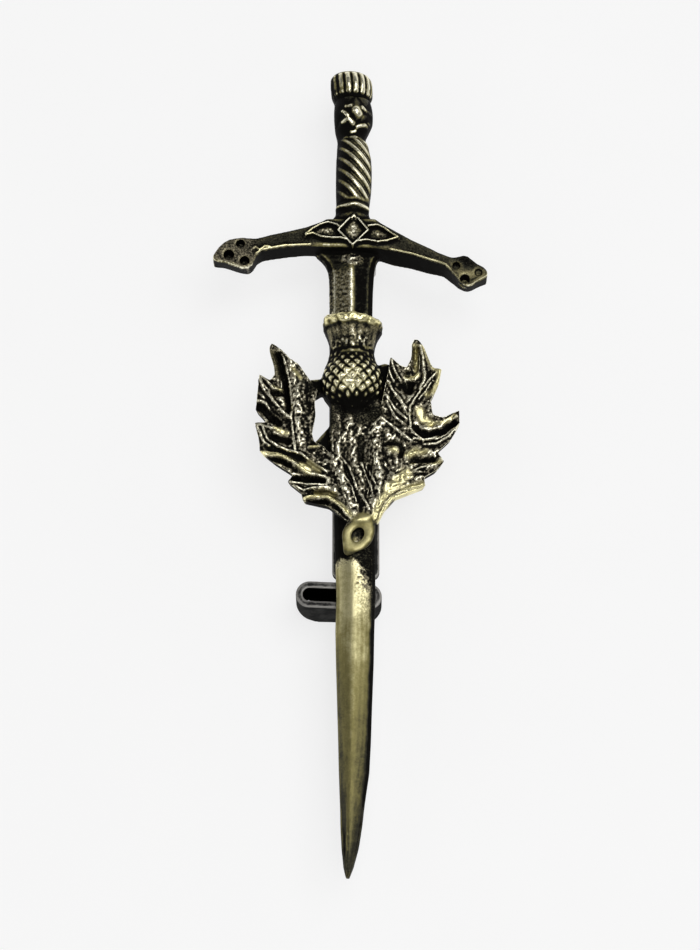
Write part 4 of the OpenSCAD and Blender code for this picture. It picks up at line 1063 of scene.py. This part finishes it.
def antiqued_brass(name, brushed):
    """Brass with a black patina that wear takes off, in a plain or a brushed finish."""
    material, tree, shader = new_material(name)
    place = object_place(tree)
    fine, broad = noise(tree, place, 5200, 2), noise(tree, place, 900, 3)
    streak = noise(tree, drawn_out(tree, place, 0.06), 3200, 3)
    wear_and_painted_light, polish, dust = (attribute(tree, kind) for kind in ("wear_and_painted_light", "polish", "dust"))
    swing = maths(tree, "ADD", less_half(tree, fine, 0.35), less_half(tree, broad, 0.3))
    calm = maths(tree, "SUBTRACT", 1.0, maths(tree, "MULTIPLY", polish, 0.75))
    level = maths(tree, "ADD", wear_and_painted_light, maths(tree, "MULTIPLY", swing, calm))
    speckle = maths(tree, "MULTIPLY", less_half(tree, fine, 1.0), dust)
    level = maths(tree, "ADD", level, speckle)
    if brushed:
        level = maths(tree, "ADD", level, less_half(tree, streak, 0.12))
        level = maths(tree, "ADD", level, less_half(tree, noise(tree, place, 420, 4), 0.3))
    bare, half, bright = (spread(tree, level, *span)
                          for span in (BREAKS, COMES_OUT, TURNS_BRIGHT))
    worn = mixed(tree, bright, mixed(tree, dust, OLIVE_BRASS, DUSTY_BRASS),
                 mixed(tree, polish, CREAM_BRASS, GOLD_BRASS))
    worn = mixed(tree, half, DEEP_BRASS, worn)
    tree.links.new(mixed(tree, bare, PATINA, worn), shader.inputs["Base Color"])
    tree.links.new(spread(tree, bare, 0.0, 1.0), shader.inputs["Metallic"])
    gloss = maths(tree, "ADD", spread(tree, bright, 0.0, 1.0, 0.52, 0.33 if brushed else 0.24),
                  less_half(tree, streak, 0.12))
    tree.links.new(gloss, shader.inputs["Roughness"])
    shader.inputs["Specular IOR Level"].default_value = 0.015
    roughen(tree, shader, streak if brushed else fine, 0.00003, 0.5)
    return material


cast_brass = antiqued_brass("cast_brass", False)
rubbed_brass = antiqued_brass("rubbed_brass", True)
print("materials:", cast_brass.name, rubbed_brass.name)


# %% [markdown]
# The catch, the back plate and the pin are steel. The catch is a strip on edge, bent into a
# loop, and is modelled as a tinsmith bends it: one edge is extruded along a straight arm,
# spun round the end and extruded back. Solidify then gives the strip its thickness.

# %% Catch
CATCH_Y = -15.7
CATCH_TURN = math.radians(2.5)
CATCH_WALL, CATCH_DEPTH, CATCH_TOP = 0.78, 3.0, 5.45
CATCH_LEFT_END, CATCH_RIGHT_END = -5.95, 3.5
# Where the two round ends begin, the middle between them, and the loop's half depth, which is
# measured to the middle of its wall
CATCH_LEFT, CATCH_RIGHT = CATCH_LEFT_END + CATCH_DEPTH / 2, CATCH_RIGHT_END - CATCH_DEPTH / 2
CATCH_MIDDLE = (CATCH_LEFT + CATCH_RIGHT) / 2
CATCH_HALF = CATCH_DEPTH / 2 - CATCH_WALL / 2


def edit(piece, act):
    """Runs steps in edit mode and comes back to object mode."""
    only(piece)
    bpy.ops.object.mode_set(mode="EDIT")
    act()
    bpy.ops.object.mode_set(mode="OBJECT")


def bent_strip():
    """Extrudes and spins one upright edge into a closed loop."""
    bpy.ops.mesh.select_mode(type="VERT")
    bpy.ops.mesh.select_all(action="SELECT")
    bpy.ops.mesh.merge(type="COLLAPSE")
    bpy.ops.mesh.extrude_region_move(TRANSFORM_OT_translate={"value": (0, 0, CATCH_TOP)})
    bpy.ops.mesh.select_all(action="SELECT")
    arm = CATCH_LEFT - CATCH_RIGHT
    bpy.ops.mesh.extrude_region_move(TRANSFORM_OT_translate={"value": (arm, 0, 0)})
    bpy.ops.mesh.spin(steps=16, angle=-math.pi, center=(CATCH_LEFT, 0, 0), axis=(0, 0, 1))
    bpy.ops.mesh.extrude_region_move(TRANSFORM_OT_translate={"value": (-arm, 0, 0)})
    bpy.ops.mesh.spin(steps=16, angle=-math.pi, center=(CATCH_RIGHT, 0, 0), axis=(0, 0, 1))
    bpy.ops.mesh.select_all(action="SELECT")
    bpy.ops.mesh.remove_doubles(threshold=0.01)
    bpy.ops.mesh.normals_make_consistent(inside=False)


bpy.ops.mesh.primitive_plane_add(size=0.01, location=(CATCH_RIGHT, CATCH_HALF, 0))
catch_loop = settled()
catch_loop.name = "catch_loop"
edit(catch_loop, bent_strip)
apply_modifier(catch_loop, "SOLIDIFY", thickness=CATCH_WALL, offset=0)
print("catch_loop:", len(catch_loop.data.polygons), "faces after solidify",
      [round(d, 2) for d in catch_loop.dimensions])

# %% [markdown]
# The loop's back corners are snipped off, and each arm has a notch that opens at the back,
# where the pin snaps in. A bisect makes the snips. The notch is round at its top, so a
# boolean with a round bar and a block under it cuts it more simply than edits would.

# %% Snips and notch of the catch
STEM_X, STEM_Z, NOTCH = 0.5, 1.6, 1.34
# For each snip: a point of the plane in the catch's own lie, and the way out of it
SNIPS = [((CATCH_LEFT_END + 2.1, 0, 0), (-2.7, 0, -2.1)),
         ((CATCH_RIGHT_END - 1.6, 0, 0), (2.6, 0, -1.6))]


def snip():
    """Cuts both back corners of the loop and closes the cuts."""
    for point, outwards in SNIPS:
        bpy.ops.mesh.select_all(action="SELECT")
        bpy.ops.mesh.bisect(plane_co=point, plane_no=outwards, use_fill=True,
                            clear_outer=True)


def placed(piece, location, turn_z=0.0):
    """Turns a piece about z and puts it in its place."""
    only(piece)
    piece.rotation_euler = (0, 0, turn_z)
    piece.location = location
    return settled()


def cut_with(piece, cutter):
    """Takes one closed form out of another and deletes the first."""
    apply_modifier(piece, "BOOLEAN", operation="DIFFERENCE", object=cutter, solver="EXACT")
    bpy.data.objects.remove(cutter)


edit(catch_loop, snip)
placed(catch_loop, (-CATCH_MIDDLE, 0, 0))
placed(catch_loop, (CATCH_MIDDLE, CATCH_Y, 0), -CATCH_TURN)
bpy.ops.mesh.primitive_cylinder_add(vertices=24, radius=NOTCH / 2, depth=9,
                                    location=(STEM_X, CATCH_Y, STEM_Z),
                                    rotation=(math.pi / 2, 0, 0))
cut_with(catch_loop, bpy.context.object)
bpy.ops.mesh.primitive_cube_add(size=1, location=(STEM_X, CATCH_Y, STEM_Z - 2),
                                scale=(NOTCH, 9, 4))
cut_with(catch_loop, bpy.context.object)
merged(catch_loop, 0.001)
catch_loop = fused([catch_loop], 0.1, "catch_loop")
soften(catch_loop, 3)
print("catch_loop:", len(catch_loop.data.polygons), "faces",
      [round(d, 2) for d in catch_loop.dimensions])

# %% [markdown]
# The plate behind the blade is sheet steel with rounded corners: a cube at its size, with its
# four upright edges bevelled. A fine remesh and some smoothing then break its long edges, as
# a file does.

# %% Back plate
PLATE_X, PLATE_LOW, PLATE_SIZE, PLATE_TOP = 0.635, -13.85, (5.2, 17.6, 0.85), 5.45
CORNER = 0.9


def round_corners():
    """Bevels the four upright edges of the plate."""
    bpy.ops.mesh.select_mode(type="EDGE")
    bpy.ops.mesh.select_all(action="DESELECT")
    bpy.ops.object.mode_set(mode="OBJECT")
    mesh = bpy.context.object.data
    for edge in mesh.edges:
        a, b = (mesh.vertices[k].co for k in edge.vertices)
        edge.select = (a.xy - b.xy).length < 0.01
    bpy.ops.object.mode_set(mode="EDIT")
    bpy.ops.mesh.bevel(offset=CORNER, segments=6, affect="EDGES")


bpy.ops.mesh.primitive_cube_add(size=1, scale=PLATE_SIZE, location=(
    PLATE_X, PLATE_LOW + PLATE_SIZE[1] / 2, PLATE_TOP - PLATE_SIZE[2] / 2))
back_strip = settled()
back_strip.name = "back_strip"
edit(back_strip, round_corners)
back_strip = fused([back_strip], 0.11, "back_strip")
soften(back_strip, 3)
print("back_strip:", len(back_strip.data.polygons), "faces",
      [round(d, 2) for d in back_strip.dimensions])

# %% [markdown]
# The pin is hard wire with a turned point, set in a block behind the guard. The wire is a
# cylinder whose end face is extruded and drawn in a few times, which gives the long curved
# taper of a ground point. The block is a bevelled cube.

# %% Pin
STEM_RADIUS, STEM_TOP, STEM_LOW, POINT_LENGTH = 0.55, 26.25, -19.4, 4.0
# How far each step of the point reaches, and how much it draws the end in
POINT_STEPS = [(1.2, 0.9), (1.1, 0.78), (0.9, 0.6), (0.5, 0.45), (0.3, 0.5)]
BLOCK_SIZE = (5.0, 3.6, 5.35)


def draw_point():
    """Extrudes the low end of the wire and draws it in, step by step."""
    bpy.ops.mesh.select_mode(type="FACE")
    bpy.ops.mesh.select_all(action="DESELECT")
    bpy.ops.object.mode_set(mode="OBJECT")
    for face in bpy.context.object.data.polygons:
        face.select = face.normal.y < -0.9
    bpy.ops.object.mode_set(mode="EDIT")
    for reach, share in POINT_STEPS:
        bpy.ops.mesh.extrude_region_move(TRANSFORM_OT_translate={"value": (0, -reach, 0)})
        bpy.ops.transform.resize(value=(share, 1, share))


length = STEM_TOP - (STEM_LOW + POINT_LENGTH)
bpy.ops.mesh.primitive_cylinder_add(vertices=40, radius=STEM_RADIUS, depth=length,
                                    location=(STEM_X, STEM_TOP - length / 2, STEM_Z),
                                    rotation=(math.pi / 2, 0, 0))
pin_wire = settled()
edit(pin_wire, draw_point)
bpy.ops.mesh.primitive_cube_add(size=1, scale=BLOCK_SIZE,
                                location=(STEM_X, STEM_TOP, BLOCK_SIZE[2] / 2))
pin_block = settled()
apply_modifier(pin_block, "BEVEL", width=0.45, segments=5, limit_method="NONE")
only(pin_wire)
pin_block.select_set(True)
bpy.ops.object.join()
pin_wire.name = "pin_and_block"
print("pin_and_block:", [round(d, 2) for d in pin_wire.dimensions])

# %% [markdown]
# Dark steel is the same idea as the brass: an oxide skin that wear takes off at the edges,
# here to a dull grey. An attribute marks the catch's inside, which gets no wear and is painted
# black as shade. The wire is bright, with fine lines along it from drawing.

# %% Steels
BLACK_OXIDE, GREY_OXIDE, INNER_PAINTED_SHADE = (0.022, 0.022, 0.022), (0.042, 0.042, 0.04), (0.0005,) * 3
WORN_STEEL, BRIGHT_WIRE, DULL_WIRE = (0.30, 0.29, 0.27), (0.46, 0.45, 0.43), (0.28, 0.26, 0.23)


def oxidised_steel():
    """Steel with a black oxide skin, worn to grey along its edges."""
    material, tree, shader = new_material("oxidised_steel")
    place = object_place(tree)
    fine, broad = noise(tree, place, 4200, 3), noise(tree, place, 700, 3)
    level = maths(tree, "ADD", attribute(tree, "wear_and_painted_light"), less_half(tree, broad, 0.6))
    level = maths(tree, "ADD", level, less_half(tree, fine, 0.4))
    bare = spread(tree, level, 0.45, 0.85)
    # The catch's inside gets no wear and is painted near black, as the shade deep inside the loop.
    inside = attribute(tree, "inside")
    bare = maths(tree, "MULTIPLY", bare, maths(tree, "SUBTRACT", 1.0, inside))
    oxide = mixed(tree, spread(tree, broad, 0.35, 0.65), BLACK_OXIDE, GREY_OXIDE)
    oxide = mixed(tree, inside, oxide, INNER_PAINTED_SHADE)
    tree.links.new(mixed(tree, bare, oxide, WORN_STEEL), shader.inputs["Base Color"])
    tree.links.new(spread(tree, bare, 0.0, 1.0, 0.0, 0.95), shader.inputs["Metallic"])
    tree.links.new(spread(tree, fine, 0.3, 0.7, 0.42, 0.6), shader.inputs["Roughness"])
    shader.inputs["Specular IOR Level"].default_value = 0.0
    roughen(tree, shader, fine, 0.00003, 0.4)
    return material


def drawn_wire_steel():
    """Bright steel with fine lines along y and a few duller patches."""
    material, tree, shader = new_material("drawn_wire_steel")
    place = object_place(tree)
    line = noise(tree, drawn_out(tree, place, 0.03), 5000, 3)
    dull = noise(tree, place, 350, 4)
    colour = mixed(tree, spread(tree, dull, 0.4, 0.7), BRIGHT_WIRE, DULL_WIRE)
    tree.links.new(colour, shader.inputs["Base Color"])
    shader.inputs["Metallic"].default_value = 1.0
    tree.links.new(spread(tree, line, 0.3, 0.7, 0.26, 0.42), shader.inputs["Roughness"])
    roughen(tree, shader, line, 0.00002, 0.35)
    return material


dark_steel, wire_steel = oxidised_steel(), drawn_wire_steel()
print("materials:", dark_steel.name, wire_steel.name)

# %% [markdown]
# The catch's inside, which is painted black as shade, is told by the distance from the line
# between the middles of its two round ends: nearer than the wall is inside. Its front rim is
# worn a little more than the rest.

# %% Wear of the steel pieces
rows, out = places(catch_loop), outward(catch_loop)
flat = rows[:, :2] - (CATCH_MIDDLE, CATCH_Y)
flat = flat @ np.array([[math.cos(CATCH_TURN), math.sin(CATCH_TURN)],
                        [-math.sin(CATCH_TURN), math.cos(CATCH_TURN)]])
flat[:, 0] -= np.clip(flat[:, 0], CATCH_LEFT - CATCH_MIDDLE, CATCH_RIGHT - CATCH_MIDDLE)
away = np.linalg.norm(flat, axis=1)
keep(catch_loop, "inside", (1 - ramp(away, CATCH_HALF - 0.2, CATCH_HALF - 0.05))
     * (1 - ramp(out[:, 2], 0.2, 0.5)))
front_rim = ramp(out[:, 2], 0.7, 0.95) * ramp(rows[:, 2], 5.1, 5.3)
measure_wear_and_light(catch_loop, 0.06, 0.35, 0.2, 0.1, 0.2 * front_rim)
measure_wear_and_light(back_strip, 0.06, 0.35, 0.2, 0.1)

# %% [markdown]
# Finishing brings each piece back to metres, smooths its shading, gives it its material, hangs
# it under the frame's root and hides the imported node it stands for.

# %% Finish the pieces
SMOOTH_ALL = 180
# Each piece, its material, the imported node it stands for, its slot and its smoothing angle
PIECES = [
    (hilt_and_guard, cast_brass, "sword", "antique_brass", SMOOTH_ALL),
    (blade, rubbed_brass, "sword", "antique_brass", SMOOTH_ALL),
    (spray, cast_brass, "thistle_spray", "worn_brass", SMOOTH_ALL),
    (catch_loop, dark_steel, "catch", "dark_steel", SMOOTH_ALL),
    (back_strip, dark_steel, "back_plate", "dark_steel", SMOOTH_ALL),
    (pin_wire, wire_steel, "pin", "pin_steel", 35)]
for piece, material, stands_for, slot_name, smooth_to in PIECES:
    scale_by(piece, MM)
    piece.data.materials.clear()
    piece.data.materials.append(material)
    only(piece)
    if smooth_to == SMOOTH_ALL:
        bpy.ops.object.shade_smooth()
    else:
        bpy.ops.object.shade_smooth_by_angle(angle=math.radians(smooth_to))
    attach(piece, "root")
    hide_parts(stands_for)
    piece.data.validate()
    print(piece.name, sum(len(face.vertices) - 2 for face in piece.data.polygons), "triangles")

# %% [markdown]
# The floor is a plain pale sheet that runs well past the picture. It glows a little, like
# paper on a light table, so the shadows on it are soft.

# %% Floor
FLOOR_WIDTH, FLOOR_GLOW = 4, 0.73
bpy.ops.object.select_all(action="DESELECT")
bpy.ops.mesh.primitive_plane_add(size=FLOOR_WIDTH, location=(0, 0, 0))
floor = bpy.context.object
floor.name = "floor"
paper, tree, shader = new_material("paper")
tint = noise(tree, object_place(tree), 60, 2)
tree.links.new(mixed(tree, tint, (0.26, 0.26, 0.26), (0.28, 0.28, 0.28)),
               shader.inputs["Base Color"])
shader.inputs["Roughness"].default_value = 0.9
shader.inputs["Specular IOR Level"].default_value = 0.1
shader.inputs["Emission Color"].default_value = (1, 1, 1, 1)
shader.inputs["Emission Strength"].default_value = FLOOR_GLOW
floor.data.materials.append(paper)
print("floor:", [round(d, 1) for d in floor.dimensions], "m")

# %% [markdown]
# The light is that of a small studio: a room that is pale near the floor and darker above, a
# large softbox overhead and to the right, a smaller one in front that the facets facing the
# lens reflect, and a weak one at the left for the edges.

# %% Light
scene = bpy.context.scene
world = bpy.data.worlds.new("room")
world.use_nodes = True
tree = world.node_tree
direction = tree.nodes.new("ShaderNodeSeparateXYZ")
tree.links.new(tree.nodes.new("ShaderNodeTexCoord").outputs["Generated"], direction.inputs[0])
tree.links.new(spread(tree, direction.outputs["Z"], 0.15, 0.6, 0.85, 0.12),
               tree.nodes["Background"].inputs["Strength"])
tree.nodes["Background"].inputs["Color"].default_value = (1, 1, 1, 1)
scene.world = world
TARGET = Vector((0, -0.0022, 0.007))
# Name, direction from the object, distance, width, height (all in metres) and power in watts
SOFTBOXES = [
    ("key", (0.35, 0.15, 0.92), 0.6, 0.5, 0.5, 1.5),
    ("front", (0.05, -0.4, 0.91), 0.6, 0.28, 0.28, 0.65),
    ("side", (-0.75, -0.1, 0.65), 0.6, 0.25, 0.25, 0.2)]
for name, direction, distance, width, height, power in SOFTBOXES:
    light = bpy.data.lights.new(name, "AREA")
    light.shape = "RECTANGLE"
    light.size, light.size_y, light.energy = width, height, power
    lamp = bpy.data.objects.new(name, light)
    away = Vector(direction).normalized()
    lamp.location = TARGET + away * distance
    lamp.rotation_euler = away.to_track_quat("Z", "Y").to_euler()
    scene.collection.objects.link(lamp)
print("lights:", len(SOFTBOXES))

# %% [markdown]
# The camera looks from the side of the blade's point, 70 degrees above the floor, through a
# long lens, as the photograph does. Half a pixel of shift puts the pin where it is there.

# %% Camera
ELEVATION, DISTANCE = math.radians(70), 0.33
SENSOR, LENS, PICTURE_HEIGHT = 36, 113.14, 950
camera_data = bpy.data.cameras.new("camera")
camera_data.sensor_width = SENSOR
camera_data.lens = LENS
camera_data.shift_y = -0.5 / PICTURE_HEIGHT
camera_data.clip_start, camera_data.clip_end = 0.01, 10
camera = bpy.data.objects.new("camera", camera_data)
back = Vector((0, -math.cos(ELEVATION), math.sin(ELEVATION)))
camera.location = TARGET + back * DISTANCE
camera.rotation_euler = (math.pi / 2 - ELEVATION, 0, 0)
scene.collection.objects.link(camera)
scene.camera = camera
scene.view_settings.view_transform = "Standard"
scene.view_settings.look = "None"
print("camera:", [round(c, 3) for c in camera.location])
